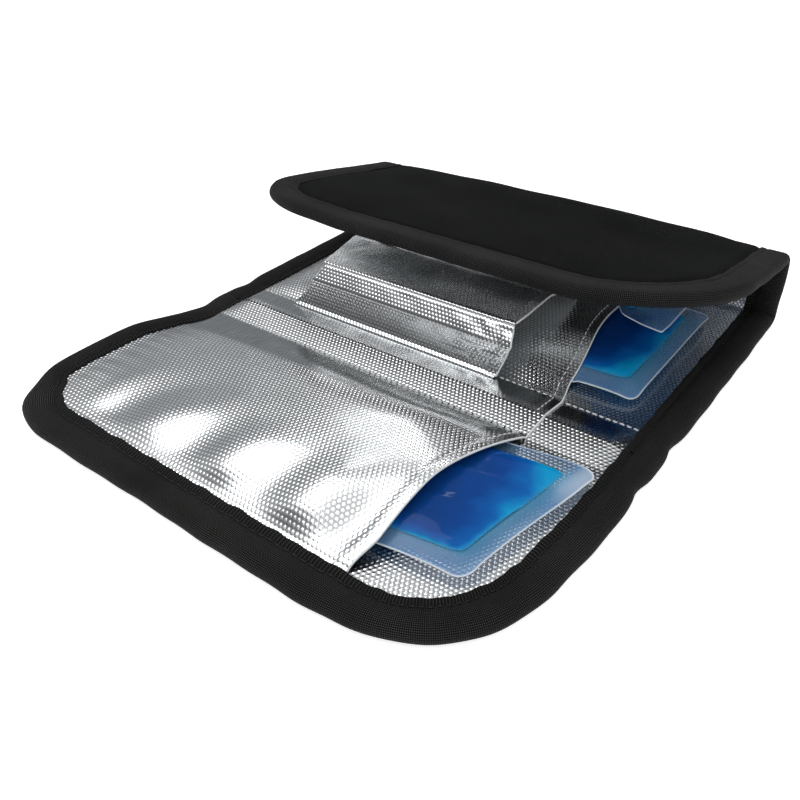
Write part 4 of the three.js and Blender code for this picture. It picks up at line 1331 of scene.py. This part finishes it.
# The left end, folded inwards once on the way up.
up, y = np.meshgrid(np.linspace(0, 1, 22), np.linspace(1.2, 51, 40))
foot_x = -70.4 - 2.4 * (y - 1.2) / 50
head_x = pen_left(np.maximum(y, 8)) + 0.7
foot_h = middle_pocket_height(foot_x, y, middle_mouth(y)) + FILM_THICK
head_h = 19.4 - pen_slope(y)
fold_in = 2.6 * (1 - np.abs(2 * up - 1)) * smooth((head_h - foot_h) / 6)
x = foot_x + (head_x - foot_x) * up + fold_in
height = foot_h + (head_h - foot_h) * up
front_y = np.interp(height, profile_h[12:], profile_y[12:])
turned_y = y + np.maximum(front_y - y, 0) * np.clip((8.7 - y) / 7.5, 0, 1)
creases = crumple(y * 1.7, height * 2, 121, 0.8) * smooth(up / 0.15) * smooth((1 - up) / 0.15)
outer = case_point(x - FILM_THICK + creases, turned_y, height)
inner = case_point(x + creases, turned_y, height)
end = slab("pen_pocket_end_film", outer, inner, (y, height * 1.3), crumpled_film, film_backing)
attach(end, "middle_panel")
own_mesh(end)
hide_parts("pen_pocket_left_end")


# ---- Hook and loop strips ----------------------------------------------------------------------
# The cover closes on the folded front panel with a strip of hooks inside its free edge and a strip
# of loops on the cloth. Both are woven strips, sewn on round their edges.

# Moulded nylon hooks: black, smooth and slightly shiny.
material, tree, chart = start_material("black_moulded_hooks")
mould = add_node(tree, "TexNoise", {"Vector": chart, "Scale": 1.5, "Detail": 2.0}).outputs[0]
face = add_node(
    tree, "Mix", {0: mould, 6: linear("#0a0a0a"), 7: linear("#2b2b2b")}, data_type="RGBA"
).outputs[2]
moulded_hooks = finish_material(material, {"Base Color": face, "Roughness": 0.42})

# Brushed nylon loops: a black matt pile that looks fluffy. Its loops are far finer than a
# millimetre and are drawn as tufts 1.3 mm apart.
material, tree, chart = start_material("black_brushed_loops")
tufts = add_node(tree, "TexVoronoi", {"Vector": chart, "Scale": 0.75})
curls = add_node(
    tree,
    "TexNoise",
    {"Vector": chart, "Scale": 1.8, "Detail": 6.0, "Roughness": 0.8, "Distortion": 2.0},
).outputs[0]
pile = add_node(
    tree, "Math", {0: curls, 1: tufts.outputs["Distance"]}, operation="SUBTRACT"
).outputs[0]
face = add_node(
    tree, "Mix", {0: curls, 6: linear("#0b0b0b"), 7: linear("#373737")}, data_type="RGBA"
).outputs[2]
sockets = {"Base Color": face, "Roughness": 0.95, "Sheen Weight": 0.3, "Sheen Roughness": 0.4}
brushed_loops = finish_material(material, sockets, pile, 0.0006)

STRIP_HALF = 30.0
LOOP_STATIONS = (Q_FOLD_A - 35.0, Q_FOLD_A - 15.0)
HOOK_STATIONS = (Q_COVER + COVER_POCKET + 0.2, Q_COVER + COVER_POCKET + 9.8)

x, q = np.meshgrid(np.linspace(-STRIP_HALF, STRIP_HALF, 81), np.linspace(*LOOP_STATIONS, 29))
rim = np.minimum(STRIP_HALF - np.abs(x), np.minimum(q - LOOP_STATIONS[0], LOOP_STATIONS[1] - q))
nap = 0.12 * ripple(x, q, 131, (3.1, 2.3, 4.7))
low = -4.36 + 0.35 * (1 - smooth(rim / 1.6)) + np.abs(nap)
loops = case_sheet("loop_pile_strip", x, q, np.full(x.shape, -3.66), low, brushed_loops)
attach(loops, "front_panel")
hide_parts("loop_strip")

# The hook strip: a woven base with rows of small bent hooks.
x, q = np.meshgrid(np.linspace(-STRIP_HALF, STRIP_HALF, 61), np.linspace(*HOOK_STATIONS, 9))
points = [np.concatenate([case_point(x, q, rise).reshape(-1, 3) for rise in (0.62, 0.05)])]
faces = [slab_faces(*x.shape)]
lay = [np.tile(np.stack([x, q], -1).reshape(-1, 2), (2, 1))]
along = np.arange(HOOK_STATIONS[0] + 1.2, HOOK_STATIONS[1] - 0.8, 1.45)
hook_x, hook_q = (v.ravel() for v in np.meshgrid(np.arange(-28.8, 29, 1.6), along))
# One hook: how far it has bent over, its height, and half its thickness.
HOOK = [
    (0.0, 0.55, 0.2), (0.0, 1.0, 0.17), (0.12, 1.28, 0.15), (0.38, 1.42, 0.13), (0.62, 1.32, 0.11),
    (0.7, 1.12, 0.07),
]
rings = []
for shift, rise, half in HOOK:
    over, up = (1, 0) if rise < 1.05 else (0.5, 0.8)
    for du, dh in ((-half, -half), (half, -half), (half, half), (-half, half)):
        rings.append(case_point(hook_x + du, hook_q + shift + dh * over, rise + dh * up))
hooks = np.stack(rings, 1)
at = len(points[0]) + np.arange(hooks.size // 3).reshape(-1, len(HOOK), 4)
points.append(hooks.reshape(-1, 3))
faces += [tube_walls(at), at[:, 0, ::-1], at[:, -1]]
lay.append(np.repeat(np.stack([hook_x, hook_q], -1), len(HOOK) * 4, axis=0))
points, faces, lay = (np.concatenate(parts) for parts in (points, faces, lay))
hook_piece = soft_mesh("hook_strip_moulding", points, faces, lay, moulded_hooks)
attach(hook_piece, "cover_flap")
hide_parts("hook_strip")
